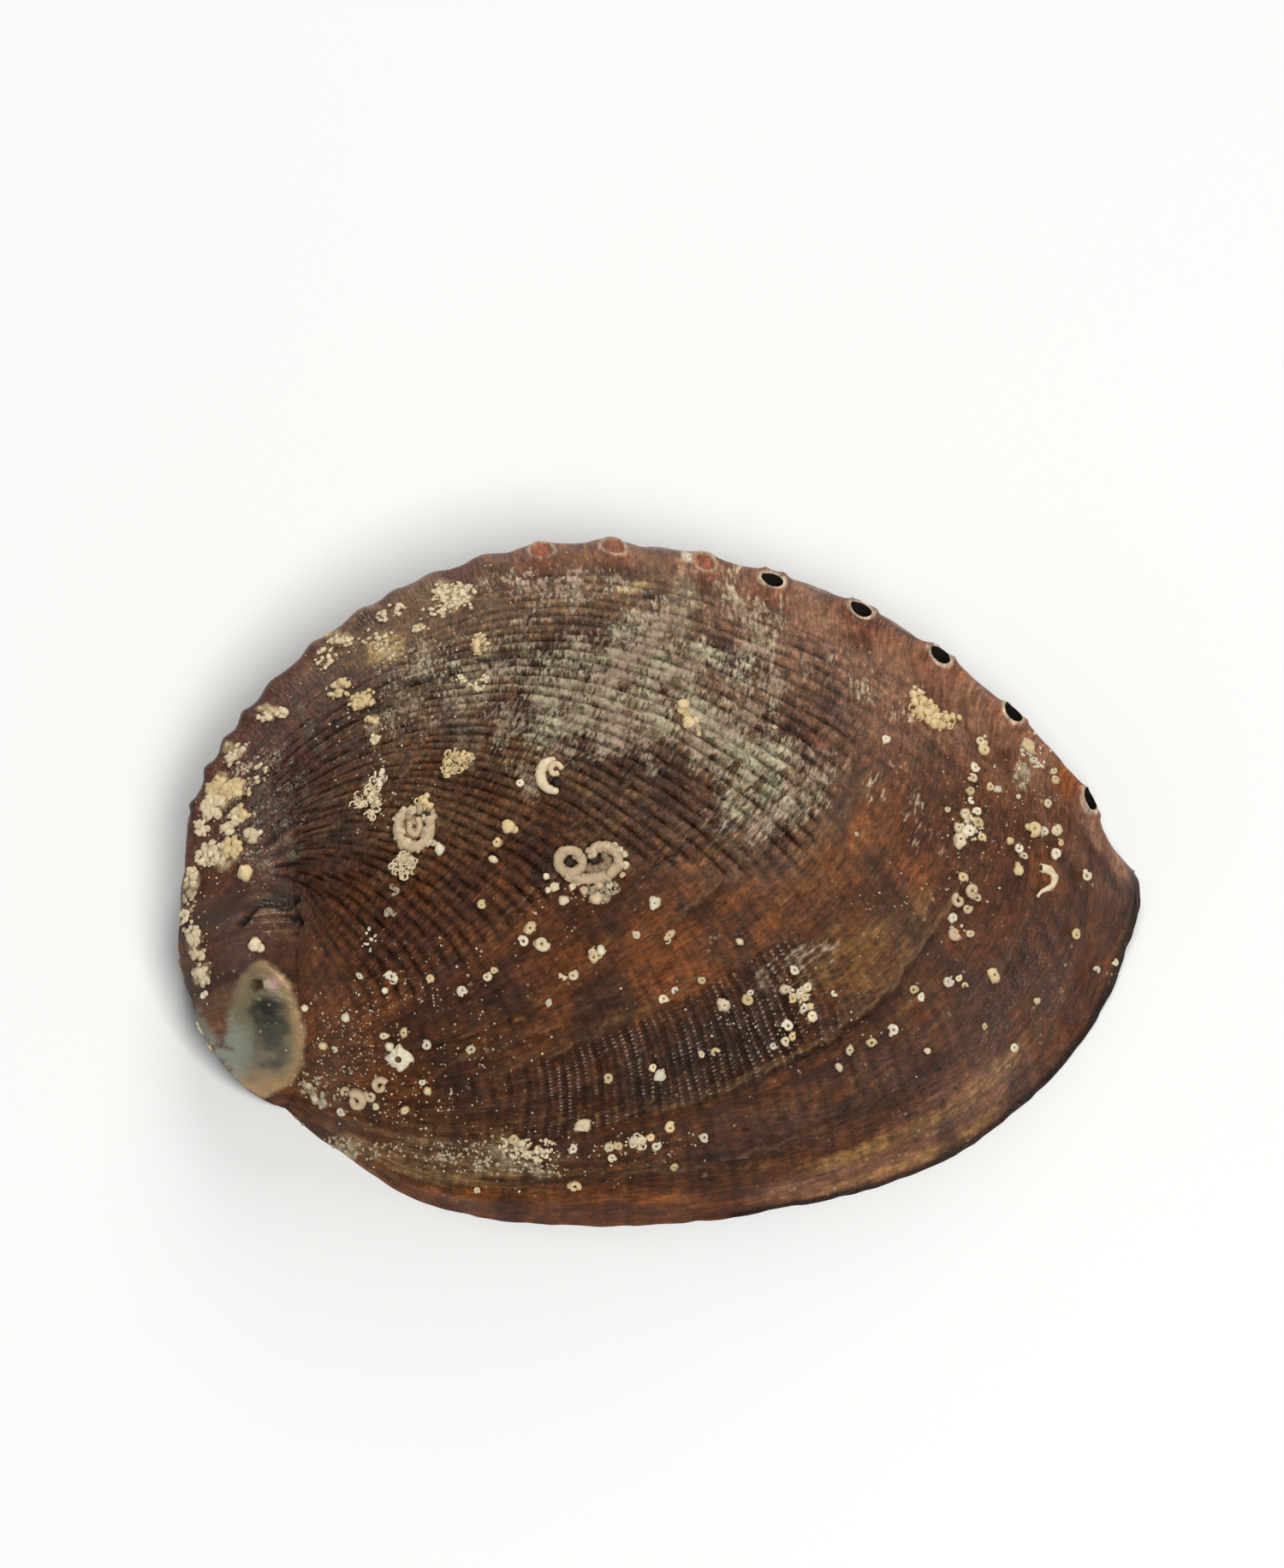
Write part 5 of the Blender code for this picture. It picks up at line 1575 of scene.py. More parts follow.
# Patches of lime balls by pixel: half widths, how many, and the smallest and largest radius in millimetres
LIME_PATCHES = (
    (532, 698, 27, 18, 70, 0.16, 0.34, "cream"), (520, 688, 18, 8, 20, 0.2, 0.36, "cream"),
    (464, 711, 10, 8, 10, 0.18, 0.34, "cream"), (400, 750, 18, 7, 20, 0.16, 0.34, "cream"),
    (382, 763, 12, 6, 8, 0.2, 0.36, "cream"), (491, 735, 12, 4, 10, 0.16, 0.28, "cream"),
    (560, 753, 11, 13, 28, 0.18, 0.36, "yellow"), (540, 793, 8, 4, 8, 0.16, 0.3, "cream"),
    (556, 803, 12, 5, 14, 0.16, 0.3, "cream"), (566, 794, 5, 6, 6, 0.16, 0.3, "cream"),
    (399, 799, 10, 6, 12, 0.22, 0.44, "yellow"), (396, 810, 11, 4, 10, 0.22, 0.4, "yellow"),
    (422, 820, 16, 9, 26, 0.22, 0.46, "yellow"), (430, 812, 8, 6, 8, 0.2, 0.4, "yellow"),
    (435, 841, 10, 4, 10, 0.18, 0.34, "yellow"), (438, 862, 7, 8, 10, 0.16, 0.32, "cream"),
    (330, 832, 9, 6, 8, 0.24, 0.42, "cream"), (312, 838, 11, 5, 10, 0.2, 0.4, "cream"),
    (281, 874, 8, 7, 9, 0.2, 0.36, "cream"), (272, 887, 8, 7, 9, 0.22, 0.4, "cream"),
    (258, 922, 16, 14, 44, 0.28, 0.52, "yellow"), (250, 942, 14, 14, 34, 0.3, 0.56, "cream"),
    (278, 925, 14, 14, 26, 0.26, 0.5, "yellow"), (272, 955, 9, 10, 14, 0.3, 0.5, "cream"),
    (266, 968, 8, 8, 10, 0.28, 0.46, "cream"), (250, 997, 14, 14, 32, 0.3, 0.56, "cream"),
    (270, 990, 12, 12, 24, 0.3, 0.54, "yellow"), (295, 976, 9, 7, 12, 0.3, 0.52, "cream"),
    (236, 1000, 8, 14, 14, 0.26, 0.48, "cream"), (224, 1024, 7, 12, 14, 0.24, 0.44, "cream"),
    (222, 1050, 7, 14, 12, 0.2, 0.4, "grey"), (226, 1094, 8, 12, 16, 0.3, 0.54, "cream"),
    (231, 1116, 9, 10, 16, 0.24, 0.44, "cream"), (234, 1136, 9, 9, 16, 0.24, 0.44, "cream"),
    (240, 1146, 7, 7, 10, 0.24, 0.42, "cream"), (453, 761, 26, 14, 14, 0.1, 0.2, "cream"),
    (620, 1346, 36, 16, 60, 0.12, 0.28, "cream"), (575, 1352, 60, 22, 70, 0.1, 0.24, "grey"),
    (600, 1336, 22, 8, 22, 0.14, 0.28, "cream"), (512, 1350, 30, 16, 34, 0.1, 0.22, "grey"),
    (640, 1368, 26, 8, 22, 0.1, 0.24, "grey"), (440, 1345, 40, 10, 34, 0.1, 0.24, "grey"),
    (395, 1335, 26, 8, 22, 0.12, 0.26, "grey"), (1193, 905, 10, 16, 20, 0.12, 0.3, "grey"),
    (1200, 878, 8, 10, 10, 0.14, 0.3, "white"), (1213, 893, 8, 5, 8, 0.12, 0.24, "white"),
    (431, 1090, 10, 26, 10, 0.1, 0.2, "white"), (360, 1262, 12, 16, 16, 0.14, 0.34, "grey"),
    (376, 1285, 16, 10, 16, 0.16, 0.36, "grey"), (1131, 968, 17, 16, 40, 0.12, 0.26, "white"),
    (1118, 1084, 10, 8, 10, 0.1, 0.22, "cream"), (932, 1162, 16, 10, 14, 0.12, 0.24, "cream"),
    (688, 1044, 30, 10, 30, 0.08, 0.18, "grey"), (736, 1336, 30, 8, 16, 0.1, 0.22, "cream"),
    (1216, 868, 20, 20, 12, 0.08, 0.18, "white"), (1150, 868, 6, 8, 5, 0.16, 0.3, "cream"),
    (300, 900, 14, 20, 16, 0.12, 0.3, "cream"), (218, 1075, 7, 14, 14, 0.2, 0.4, "cream"),
    (236, 965, 9, 14, 18, 0.22, 0.44, "cream"), (285, 950, 12, 10, 14, 0.2, 0.4, "yellow"),
    (440, 745, 24, 10, 18, 0.12, 0.28, "cream"), (510, 715, 18, 8, 16, 0.16, 0.3, "cream"),
    (446, 720, 10, 8, 10, 0.16, 0.3, "cream"), (378, 775, 12, 8, 12, 0.16, 0.34, "cream"),
)
# Fine grit by pixel: half widths and how many grains
GRIT = (
    (430, 1200, 70, 60, 170), (390, 1250, 50, 50, 120), (480, 1290, 70, 40, 110), (560, 1230, 80, 60, 60),
    (430, 820, 90, 90, 110), (530, 760, 60, 80, 80), (440, 930, 40, 60, 60), (270, 960, 50, 100, 100),
    (232, 1110, 14, 60, 40), (640, 1080, 60, 60, 40), (880, 1170, 120, 60, 50), (1130, 980, 50, 100, 70),
    (700, 1340, 130, 40, 80), (1200, 950, 70, 70, 40), (560, 1350, 120, 40, 120), (500, 1150, 80, 60, 70),
    (1000, 1200, 120, 60, 40), (620, 680, 90, 40, 30), (1030, 1050, 80, 60, 30),
)
# Frilly little colonies: pixel, radius in millimetres and number of flakes
TUFTS = (
    (471, 1013, 1.5, 60, "cream"), (476, 1003, 1.0, 24, "cream"), (534, 890, 1.5, 46, "yellow"),
    (523, 899, 1.0, 20, "yellow"), (548, 884, 0.8, 14, "yellow"), (420, 937, 0.9, 20, "cream"),
    (434, 926, 0.9, 20, "cream"), (437, 941, 0.9, 18, "cream"), (433, 952, 0.6, 10, "cream"),
    (445, 907, 0.7, 12, "white"), (440, 916, 0.6, 10, "white"), (697, 1112, 0.7, 14, "cream"),
    (746, 1335, 0.8, 14, "cream"), (657, 1140, 0.4, 6, "cream"), (461, 1040, 0.6, 10, "grey"),
    (455, 1066, 0.6, 10, "grey"), (455, 1140, 0.8, 14, "white"), (780, 1095, 0.4, 6, "cream"),
)
LIME_TINTS = {
    "cream": LIME_CREAM, "white": LIME_WHITE, "yellow": LIME_YELLOW, "pink": LIME_PINK, "grey": LIME_GREY,
}
# How many small worms sit on the flank that the photograph doesn't show
FLANK_WORMS = 56


def lump_at(growths, ground, px, py, radius, colour, seed, lift=0.0, **form):
    """A lump at a pixel, lifted off the back by some millimetres."""
    place, normal = ground.at_pixel(px, py)
    add_lump(growths, place + normal * lift, normal, radius, colour, seed, **form)


def make_twin(ground, lime):
    twin = Growths()
    for pixels, seed in ((TWIN_RING, 3), (TWIN_LOOP, 4)):
        path, normals = surface_path(ground, pixels, 0.45, 40)
        add_tube(twin, path, normals, 0.66, LIME_PINK * 0.74, seed, 18, 0.3, mouth=False)
    for k, (px, py, width) in enumerate(TWIN_BEADS):
        radius = width / PIXELS_PER_MM * BEAD_FULLNESS
        lump_at(twin, ground, px, py, radius, LIME_CREAM if k % 3 else LIME_PINK, 40 + k)
    random = np.random.default_rng(4)
    for k in range(TWIN_SCRAPS):
        px, py = TWIN_LOOP[k % len(TWIN_LOOP)]
        px = px + random.uniform(-3, 7)
        py = py + random.uniform(-4, 4)
        lift = random.uniform(0.2, 0.9)
        tone = (LIME_PINK, LIME_CREAM, LIME_PINK)[k % 3] * random.uniform(0.7, 0.95)
        lump_at(twin, ground, px, py, random.uniform(0.22, 0.42), tone, 160 + k, lift, rough=0.5)
    for k, (px, py) in enumerate(TWIN_FILLING):
        lump_at(twin, ground, px, py, 0.58, LIME_PINK * 0.42, 240 + k, rough=0.5)
    # Painted shade: dark lumps in the open mouths
    for px, py, width in TWIN_MOUTH_SHADES:
        lump_at(twin, ground, px, py, width / PIXELS_PER_MM, DIRT_AND_SHADE * 0.12, 60, flat=0.9)
    add_tuft(twin, ground, *TWIN_FRILL, 1.6, LIME_GREY, 61, 40)
    twin.make("twin_worm_tubes", lime, "worm_lime", ["worm_tube_twin"])


def make_coil(ground, lime):
    coil = Growths()
    path, normals = surface_path(ground, COIL_TUBE[::-1], 0.45, 40)
    add_tube(coil, path, normals, np.linspace(0.5, 0.66, len(path)), LIME_PINK * 0.8, 5, 18, 0.3)
    path, normals = surface_path(ground, COIL_HUB[::-1], 0.5, 20)
    add_tube(coil, path, normals, 0.4, LIME_PINK * 0.8, 6, 12, 0.25)
    lump_at(coil, ground, *COIL_MIDDLE, 1.35, LIME_PINK * 0.7, 90, flat=0.3, rough=0.3)
    # Painted shade: dark lumps in the hollow and the mouth
    lump_at(coil, ground, *COIL_HOLLOW_SHADE, 0.32, DIRT_AND_SHADE * 0.3, 92, 0.35, flat=0.5)
    lump_at(coil, ground, *COIL_MOUTH_SHADE, 0.5, DIRT_AND_SHADE * 0.1, 93, 0.2, flat=1.2)
    for k, (px, py) in enumerate(COIL_TUBE * 4):
        px = px + COIL_SCATTER * math.cos(k * 2.4)
        py = py + COIL_SCATTER * math.sin(k * 2.4)
        radius = 0.44 + 0.12 * math.sin(k * 1.7)
        tone = (LIME_PINK, LIME_CREAM)[k % 2] * (0.72 + 0.14 * math.sin(k * 3.1))
        lump_at(coil, ground, px, py, radius, tone, 360 + k, 0.4, rough=0.5)
    for k, (px, py, width) in enumerate(COIL_BEADS):
        lump_at(coil, ground, px, py, width / PIXELS_PER_MM * BEAD_FULLNESS, LIME_YELLOW, 80 + k)
    add_tuft(coil, ground, *COIL_FRILL, 1.1, LIME_YELLOW, 95, 34)
    coil.make("coiled_worm_tube", lime, "worm_lime", ["worm_tube_coil"])


def make_crescent(ground, lime):
    crescent = Growths()
    path, normals = surface_path(ground, CRESCENT_TUBE, 0.5, 22)
    swell = 0.25 + 0.48 * np.sin(math.pi * np.linspace(0.08, 0.92, len(path)))
    add_tube(crescent, path, normals, swell, LIME_CREAM * 0.95, 7, 14, 0.24, mouth=False)
    path, normals = surface_path(ground, CRESCENT_HUB, 0.5, 16)
    add_tube(crescent, path + normals * 0.3, normals, 0.36, LIME_PINK, 8, 12, 0.1)
    # Painted shade: a dark lump in the hollow
    lump_at(crescent, ground, *CRESCENT_HOLLOW_SHADE, 0.62, DIRT_AND_SHADE * 0.1, 9, 0.1, flat=0.5)
    crescent.make("crescent_worm_tube", lime, "worm_lime", ["worm_tube_crescent"])


def make_knot(ground, lime):
    knot = Growths()
    for k, (px, py, width) in enumerate(KNOT_LUMPS):
        radius = width / PIXELS_PER_MM * KNOT_FULLNESS
        lump_at(knot, ground, px, py, radius, LIME_YELLOW, 100 + k, flat=0.9, rough=0.45)
    for px, py, radius, seed, count in KNOT_FRILLS:
        add_tuft(knot, ground, px, py, radius, LIME_YELLOW, seed, count)
    knot.make("worm_tube_knot_grown", lime, "worm_lime", ["worm_tube_knot"])


def make_barnacle(ground, lime):
    barnacle = Growths()
    add_star(barnacle, *ground.at_pixel(*STAR_MIDDLE))
    barnacle.make("star_barnacle_grown", lime, "barnacle_lime", ["star_barnacle"])


def add_star(growths, place, normal):
    """A low barnacle of eight ragged rays around an open middle, whose throat is painted dark as shade."""
    around = np.linspace(0, 2 * math.pi, STAR_SIDES, endpoint=False)
    first, second = across_axes(normal, 0.35)
    rays = 0.5 + 0.5 * np.cos(4 * around)
    points = 0.5 + 0.5 * np.cos(8 * around + 0.4)
    edge = STAR_RADIUS * (0.72 + 0.2 * rays + 0.1 * points + 0.05 * noise(around * 5, 0.0, seed=221))
    places, tints, faces = [], [], []
    for share, height in STAR_PROFILE:
        ridge = 0.14 * (rays + points - 1) * math.sin(math.pi * share) + 0.05 * noise(around * 7, share * 9)
        reach = edge * share if share > 0.5 else STAR_RADIUS * share * (0.86 + 0.06 * points)
        ring = place + np.outer(reach * np.cos(around), first) + np.outer(reach * np.sin(around), second)
        places.append(ring + np.outer(height + ridge * (share > 0.3), normal))
        # Painted shade: the open middle's inner rings and throat are dark
        tone = DIRT_AND_SHADE * 0.8 if share < 0.25 else LIME_WHITE
        grime = noise(around * 6, share * 5, seed=222)
        tints.append(grimed_and_shaded(tone, np.full(STAR_SIDES, 0.75 + 0.3 * height), grime))
    places += [(place + normal * 0.2)[None], (place - normal * 0.3)[None]]
    tints += [(DIRT_AND_SHADE * 0.7)[None], DIRT_AND_SHADE[None]]
    inmost = (len(STAR_PROFILE) - 1) * STAR_SIDES
    throat = inmost + STAR_SIDES
    foot = throat + 1
    for k in range(STAR_SIDES):
        after = (k + 1) % STAR_SIDES
        for start in range(0, inmost, STAR_SIDES):
            a, b = start + k, start + after
            faces += [(a, b, b + STAR_SIDES), (a, b + STAR_SIDES, a + STAR_SIDES)]
        faces += [(inmost + k, inmost + after, throat), (after, k, foot)]
    growths.add(np.vstack(places), faces, np.vstack(tints))


def make_small_worms(ground, lime, random):
    coils = Growths()
    for k, (px, py, width) in enumerate(WORMS):
        place, normal = ground.at_pixel(px, py)
        tone = (LIME_WHITE, LIME_CREAM, LIME_YELLOW)[k % 3] * random.uniform(0.75, 1.05)
        add_worm(coils, place, normal, width / PIXELS_PER_MM / 2 * 1.1, tone, k + 1, random)
    for k, (px, py, width) in enumerate(PINK_RINGS):
        place, normal = ground.at_pixel(px, py)
        add_coil(coils, place, normal, width / PIXELS_PER_MM / 2, LIME_PINK * 0.85, 300 + k, 0.95, 10)
    path, normals = surface_path(ground, S_TUBE, 0.3, 20)
    add_tube(coils, path, normals, np.linspace(0.2, 0.62, 20), LIME_CREAM, 330, 10, 0.3)
    for k in range(FLANK_WORMS):
        station = random.uniform(0.1, 0.8)
        b = random.uniform(0.2, 0.85)
        if k % 6 == 0:
            point = band(shoulder, spire_band_width, station * 0.7, b * 0.6)
        else:
            point = band(seam, row_band_width, station, b)
        place, normal = ground.near(point)
        add_worm(coils, place, normal, random.uniform(0.4, 0.9), LIME_CREAM * 0.9, 400 + k, random)
    coils.make("small_coiled_worms", lime, "worm_lime")


def make_crusts(ground, lime, random):
    crusts = Growths()
    for k, (px, py, width, tone) in enumerate(LUMPS):
        radius = width / PIXELS_PER_MM * LONE_FULLNESS
        lump_at(crusts, ground, px, py, radius, LIME_TINTS[tone], 500 + k, flat=0.85)
    for number, (px, py, rx, ry, count, least, most, tone) in enumerate(LIME_PATCHES):
        for k in range(count):
            turn = random.uniform(0, 2 * math.pi)
            reach = random.uniform(0, 1) ** 0.55
            radius = random.uniform(least, most) * (1.45 - 0.65 * reach)
            colour = LIME_TINTS[tone] * random.uniform(0.85, 1.05)
            form = {"flat": random.uniform(0.45, 0.75), "stretch": random.uniform(1, 1.7)}
            lump_at(
                crusts, ground, px + rx * reach * math.cos(turn), py + ry * reach * math.sin(turn),
                radius, colour, number * 97 + k, turn=turn * 3, rough=0.4, **form,
            )
    crusts.make("lime_crusts", lime, "worm_lime")


def make_frills(ground, lime):
    frills = Growths()
    for k, (px, py, radius, count, tone) in enumerate(TUFTS):
        add_tuft(frills, ground, px, py, radius, LIME_TINTS[tone], 700 + k * 100, count)
    frills.make("frilly_colonies", lime, "worm_lime")


def make_grit(ground, lime, random):
    grit = Growths()
    unit, faces = ball(1)
    for px, py, rx, ry, count in GRIT:
        for k in range(count):
            place, normal = ground.at_pixel(px + random.normal(0, rx * 0.5), py + random.normal(0, ry * 0.5))
            radius = random.uniform(0.06, 0.17)
            shape = unit * radius * random.uniform(0.6, 1.4, (len(unit), 1))
            tone = (LIME_GREY, LIME_CREAM, LIME_WHITE)[k % 3] * random.uniform(0.6, 1.0)
            grit.add(place + shape + normal * radius * 0.2, faces, tone)
    grit.make("lime_grit", lime, "worm_lime")


def make_growths(ground, lime):
    """The five animals of the frame, and then the coils, balls, frills and grit too small for it."""
    for make in (make_twin, make_coil, make_crescent, make_knot, make_barnacle):
        make(ground, lime)
    random = np.random.default_rng(9)
    make_small_worms(ground, lime, random)
    make_crusts(ground, lime, random)
    make_frills(ground, lime)
    make_grit(ground, lime, random)


# Materials

class Net:
    """A new material's nodes, joined by the values that pass between them."""

    def __init__(self, name):
        self.material = bpy.data.materials.new(name)
        self.material.use_nodes = True
        self.nodes = self.material.node_tree.nodes
        self.links = self.material.node_tree.links
        self.shader = self.nodes["Principled BSDF"]

    def put(self, socket, value):
        """Gives a socket a number, a colour or what another node gives."""
        if isinstance(value, (int, float)):
            socket.default_value = value
        elif isinstance(value, (tuple, np.ndarray)):
            socket.default_value = (*[float(c) for c in value], 1.0)
        else:
            self.links.new(value, socket)

    def node(self, kind, **inputs):
        """A new node, with its inputs named as they are but with _ for a space."""
        node = self.nodes.new(kind)
        for name, value in inputs.items():
            self.put(node.inputs[name.replace("_", " ")], value)
        return node

    def shade(self, values):
        for name, value in values.items():
            self.put(self.shader.inputs[name], value)

    def attribute(self, name, output="Fac"):
        node = self.node("ShaderNodeAttribute")
        node.attribute_name = name
        return node.outputs[output]

    def place(self):
        return self.node("ShaderNodeTexCoord").outputs["Object"]

    def math(self, operation, *values, clamp=False):
        node = self.node("ShaderNodeMath")
        node.operation = operation
        node.use_clamp = clamp
        for socket, value in zip(node.inputs, values):
            self.put(socket, value)
        return node.outputs[0]

    def times(self, first, second, clamp=False):
        return self.math("MULTIPLY", first, second, clamp=clamp)

    def times_plus(self, first, second, third, clamp=False):
        return self.math("MULTIPLY_ADD", first, second, third, clamp=clamp)

    def wave(self, turn):
        """A sine wave from 0 to 1."""
        return self.times_plus(self.math("SINE", turn), 0.5, 0.5)

    def mix(self, share, first, second, blend="MIX"):
        node = self.node("ShaderNodeMix")
        node.data_type = "RGBA"
        node.blend_type = blend
        for name, value in (("Factor_Float", share), ("A_Color", first), ("B_Color", second)):
            self.put(next(i for i in node.inputs if i.identifier == name), value)
        return next(o for o in node.outputs if o.identifier == "Result_Color")

    def noise(self, vector, scale, detail=4.0, roughness=0.55, distortion=0.0):
        node = self.node(
            "ShaderNodeTexNoise", Vector=vector, Scale=scale, Detail=detail, Roughness=roughness,
            Distortion=distortion,
        )
        return node.outputs["Fac"]

    def stretched_noise(self, vector, scale, detail, roughness, distortion=0.0):
        node = self.node("ShaderNodeMapping", Vector=vector)
        node.inputs["Scale"].default_value = scale
        return self.noise(node.outputs["Vector"], 1.0, detail, roughness, distortion)

    def ranged(self, value, low, high, to_low=0.0, to_high=1.0):
        node = self.node(
            "ShaderNodeMapRange", Value=value, From_Min=low, From_Max=high, To_Min=to_low, To_Max=to_high
        )
        return node.outputs["Result"]

    def varied(self, value, swing, base=1.0):
        """A factor around the base that follows a noise value."""
        return self.times_plus(self.ranged(value, 0.3, 0.7, -0.5, 0.5), swing, base)

    def grey(self, value):
        return self.node("ShaderNodeCombineColor", Red=value, Green=value, Blue=value).outputs[0]

    def bump(self, height, strength, distance):
        node = self.node("ShaderNodeBump", Height=height, Strength=strength, Distance=distance)
        return node.outputs["Normal"]


class BackLook:
    """The brown, wet-looking outside: mottled, streaked along its growth and beaded across its cords."""

    def __init__(self):
        net = self.net = Net("shell_back")
        self.tint = net.attribute("tint", "Color")
        self.growth = net.attribute("growth", "Vector")
        self.pale = net.attribute("pale")
        self.dull = net.attribute("dull")
        self.pearl = net.attribute("pearl")
        self.strength = net.attribute("strength")
        self.fine_share = net.attribute("fine_cords")
        self.place = net.place()
        self.striae = net.stretched_noise(self.growth, (340, 52, 0), 3.0, 0.65)
        self.lines = net.stretched_noise(self.growth, (120, 26, 0), 4.0, 0.6)
        self.weave = net.stretched_noise(self.growth, (150, 30, 0), 4.0, 0.7)
        self.cells = net.stretched_noise(self.growth, (280, 0, 1.3), 3.0, 0.7)
        self.blotch = net.stretched_noise(self.growth, (44, 16, 0), 3.0, 0.6)
        self.mottle = net.noise(self.place, 900, 4.0, 0.65)
        self.grain = net.noise(self.place, 3200, 3.0, 0.6)

    def make(self):
        colour = self.add_strokes(self.mottled())
        ridge, bead, glint = self.fine_cords()
        colour = self.add_cords(colour, ridge, glint)
        colour = self.add_specks(colour)
        self.net.shade({"Base Color": colour})
        self.set_gloss()
        self.set_bump(bead)
        return self.net.material

    def mottled(self):
        """The painted tint, made lighter and darker in small streaks, but hardly so on the nacre."""
        net = self.net
        light = net.varied(self.lines, 0.6)
        for value, swing in ((self.weave, 0.9), (self.mottle, 1.25), (self.grain, 0.5)):
            light = net.times(light, net.varied(value, swing))
        rugged = net.ranged(self.strength, 0.05, 0.3, 0.7, 1.15)
        light = net.times_plus(net.math("SUBTRACT", light, 1.0), rugged, 1.0)
        for value, swing in ((self.striae, 0.75), (self.cells, 0.6)):
            light = net.times(light, net.varied(value, swing))
        plain = net.times(self.pearl, 0.8, clamp=True)
        light = net.mix(plain, net.grey(light), (1.0, 1.0, 1.0))
        return net.mix(1.0, self.tint, light, "MULTIPLY")

    def add_strokes(self, colour):
        """Short pale strokes of sage, rose and olive: partly the shell's pale colour, partly painted glints.
        """
        net = self.net
        stroke = net.times_plus(self.cells, 1.1, net.times(self.blotch, 0.9))
        stroke = net.times_plus(self.striae, 0.35, stroke)
        stroke = net.ranged(net.times_plus(self.pale, 0.82, stroke), 1.81, 2.01)
        patches = net.ranged(net.noise(self.place, 420, 4.0, 0.7), 0.36, 0.58, 0.4, 1.0)
        stroke = net.times(stroke, patches, clamp=True)
        hue = net.ranged(net.noise(self.place, 190, 3.0), 0.42, 0.56)
        tone = net.ranged(net.noise(self.place, 700, 3.0), 0.53, 0.66)
        stroke_colour = net.mix(tone, net.mix(hue, SAGE, STROKE_ROSE), STROKE_OLIVE)
        return net.mix(stroke, colour, stroke_colour)

    def fine_cords(self):
        """Cords half as wide as the broad ones, cut into beads by the growth lines, with a few painted
        glints.
        """
        net = self.net
        parts = net.node("ShaderNodeSeparateXYZ", Vector=self.growth)
        ridge = net.wave(net.times(parts.outputs["Z"], 4 * math.pi))
        wander = net.times(net.noise(self.place, 260, 2.0), 9.0)
        cross = net.wave(net.times_plus(parts.outputs["X"], 2 * math.pi * BEADS_PER_LENGTH, wander))
        bead = net.times(ridge, net.times_plus(cross, 0.6, 0.4))
        lit = net.times_plus(self.cells, 1.2, bead)
        lit = net.times_plus(net.noise(self.place, 1500, 2.0), 1.0, lit)
        here = net.ranged(net.noise(self.place, 240, 3.0), 0.46, 0.6, 0.0, 0.8)
        return ridge, bead, net.times(net.ranged(lit, 1.74, 2.1), here, clamp=True)

    def add_cords(self, colour, ridge, glint):
        """Painted shade between the cords and painted glints on their beads."""
        net = self.net
        groove = net.times(net.attribute("groove"), 0.62, clamp=True)
        furrow_shade = net.times(net.ranged(ridge, 0.0, 0.6, 0.5, 0.0), self.fine_share)
        glint = net.times(glint, net.ranged(self.fine_share, 0.5, 0.9))
        # Painted shade between the broad and the fine cords, then painted glints on the beads
        colour = net.mix(groove, colour, DARK_BROWN * 0.35)
        colour = net.mix(furrow_shade, colour, DARK_BROWN * 0.5)
        return net.mix(glint, colour, GLINT)

    def add_specks(self, colour):
        """Rare pale grains."""
        net = self.net
        cells = net.node("ShaderNodeTexVoronoi", Vector=self.place, Scale=900)
        near = net.ranged(cells.outputs["Distance"], 0.12, 0.26, 1.0, 0.0)
        rare = net.ranged(net.noise(self.place, 300, 3.0), 0.56, 0.66)
        return net.mix(net.times(net.times(near, rare, clamp=True), 0.6), colour, SPECK)

    def set_gloss(self):
        net = self.net
        rough = net.times_plus(net.ranged(self.mottle, 0.35, 0.65), 0.2, 0.34)
        rough = net.times_plus(self.dull, 0.4, rough, clamp=True)
        net.shade({
            "Roughness": net.times_plus(self.pearl, -0.22, rough, clamp=True),
            "Specular IOR Level": 0.15,
            "Coat Weight": net.times_plus(self.dull, -0.7, 0.75, clamp=True),
            "Coat Roughness": 0.12,
            "Metallic": net.times(self.pearl, 0.3),
        })

    def set_bump(self, bead):
        net = self.net
        height = net.times(self.grain, 0.25)
        bumps = (
            (self.striae, 2.4), (self.cells, 1.6), (self.weave, 0.6), (self.mottle, 0.5),
            (net.times(bead, self.fine_share), 1.1),
        )
        for value, weight in bumps:
            height = net.times_plus(value, weight, height)
        bumpy = net.ranged(net.math("ADD", self.strength, self.fine_share), 0.0, 0.45, 0.4, 1.0)
        smooth_pearl = net.times_plus(self.pearl, -0.7, 1.0, clamp=True)
        normal = net.bump(height, net.times(bumpy, smooth_pearl), 0.0005)
        net.shade({"Normal": normal, "Coat Normal": normal})


def nacre_material():
    """The inside: silvery mother-of-pearl in soft bands of pink, green and blue."""
    net = Net("nacre")
    swirl = net.noise(net.place(), 60, 5.0, 0.6, 1.2)
    ripple = net.stretched_noise(net.attribute("growth", "Vector"), (40, 9, 0), 5.0, 0.6, 0.6)
    phase = net.math("FRACT", net.times_plus(swirl, 3.0, net.times(ripple, 2.6)))
    ramp = net.node("ShaderNodeValToRGB", Fac=phase)
    while len(ramp.color_ramp.elements) < len(NACRE_STOPS):
        ramp.color_ramp.elements.new(0.5)
    for element, (position, colour) in zip(ramp.color_ramp.elements, NACRE_STOPS):
        element.position = position
        element.color = (*colour, 1.0)
    net.shade({
        "Base Color": ramp.outputs["Color"],
        "Metallic": 0.55,
        "Roughness": net.ranged(swirl, 0.3, 0.7, 0.2, 0.38),
        "Coat Weight": 0.5,
        "Coat Roughness": 0.1,
        "Normal": net.bump(net.math("ADD", ripple, swirl), 0.25, 0.0006),
    })
    return net.material


def hole_shade_material():
    """The walls of the open holes, painted near-black as painted shade, since they look black from outside.
    """
    net = Net("hole_wall_shade")
    net.shade({"Base Color": HOLE_SHADE, "Roughness": 0.7, "Specular IOR Level": 0.1})
    return net.material


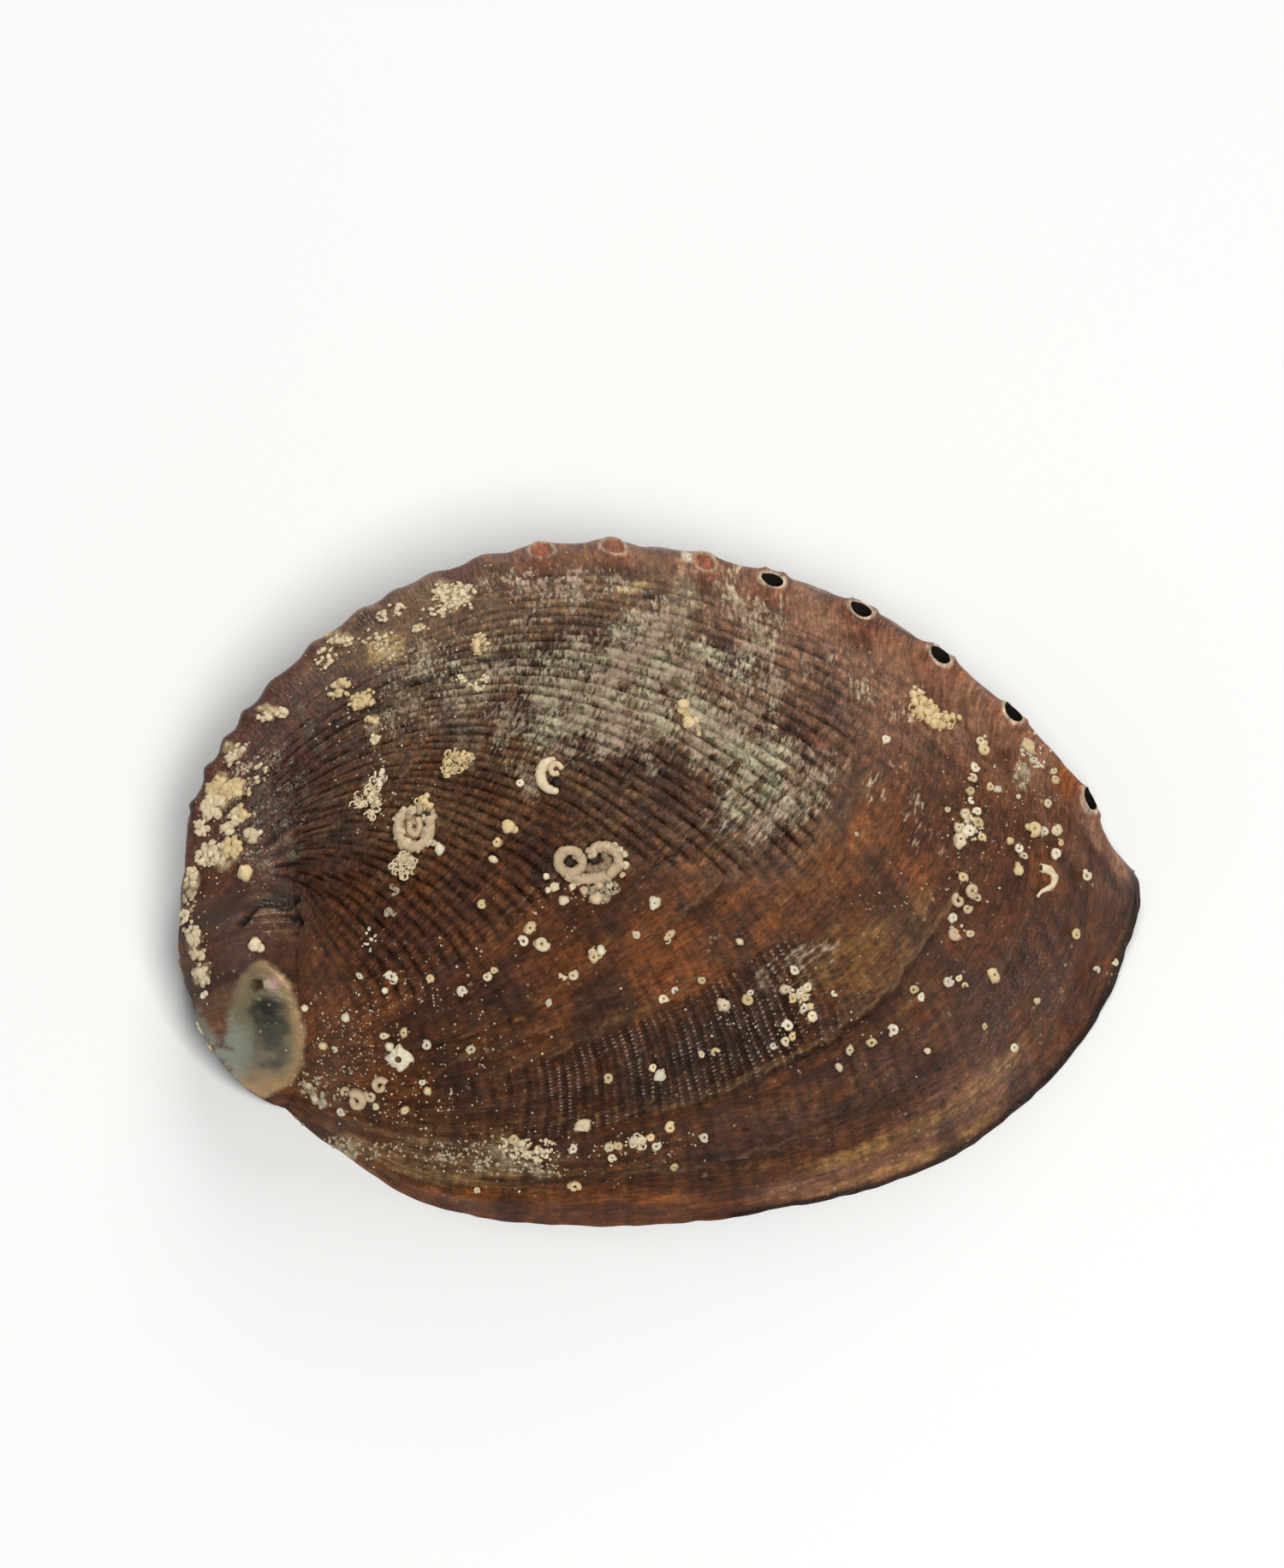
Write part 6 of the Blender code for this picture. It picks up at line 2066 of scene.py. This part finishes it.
def lime_material():
    """The animals' lime: chalky, with its own tint on each piece, random dirt, and painted shade low down and
    in openings.
    """
    net = Net("lime")
    place = net.place()
    mottle = net.noise(place, 1400, 4.0, 0.6)
    grain = net.noise(place, 5200, 3.0, 0.6)
    light = net.varied(grain, 0.2, net.varied(mottle, 0.35))
    net.shade({
        "Base Color": net.mix(1.0, net.attribute("tint", "Color"), net.grey(light), "MULTIPLY"),
        "Roughness": 0.7,
        "Normal": net.bump(net.math("ADD", mottle, grain), 0.6, 0.00015),
    })
    return net.material


# Stage

def make_floor():
    mesh = bpy.data.meshes.new("floor")
    mesh.from_pydata([(-4, -4, 0), (4, -4, 0), (4, 4, 0), (-4, 4, 0)], [], [(0, 1, 2, 3)])
    floor = bpy.data.objects.new("floor", mesh)
    bpy.context.scene.collection.objects.link(floor)
    net = Net("floor_paper")
    net.shade({"Base Color": (0.80, 0.86, 0.94), "Roughness": 0.9})
    mesh.materials.append(net.material)


WARM_LIGHT = (1.0, 0.93, 0.83)


def make_light(name, place, energy, size, colour):
    """A soft square light that looks at the shell."""
    data = bpy.data.lights.new(name, "AREA")
    data.energy = energy
    data.size = size
    data.color = colour
    light = bpy.data.objects.new(name, data)
    light.location = place
    light.rotation_mode = "QUATERNION"
    light.rotation_quaternion = (Vector((0, 0, 0.01)) - Vector(place)).to_track_quat("-Z", "Y")
    bpy.context.scene.collection.objects.link(light)


def make_lights():
    world = bpy.data.worlds.new("studio")
    world.use_nodes = True
    world.node_tree.nodes["Background"].inputs["Color"].default_value = (1, 0.96, 0.9, 1)
    world.node_tree.nodes["Background"].inputs["Strength"].default_value = 0.16
    bpy.context.scene.world = world
    make_light("key", (0.25, -0.55, 1.05), 13, 0.55, WARM_LIGHT)
    make_light("back_window", (0.05, 1.0, 0.58), 8, 0.6, WARM_LIGHT)
    make_light("left_fill", (-1.1, -0.1, 0.7), 2, 0.9, WARM_LIGHT)
    bpy.context.scene.view_settings.view_transform = "Standard"


def main():
    make_camera()
    shell, ground = make_shell((BackLook().make(), nacre_material(), hole_shade_material()))
    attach(shell, "root")
    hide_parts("shell")
    make_growths(ground, lime_material())
    make_floor()
    make_lights()


main()
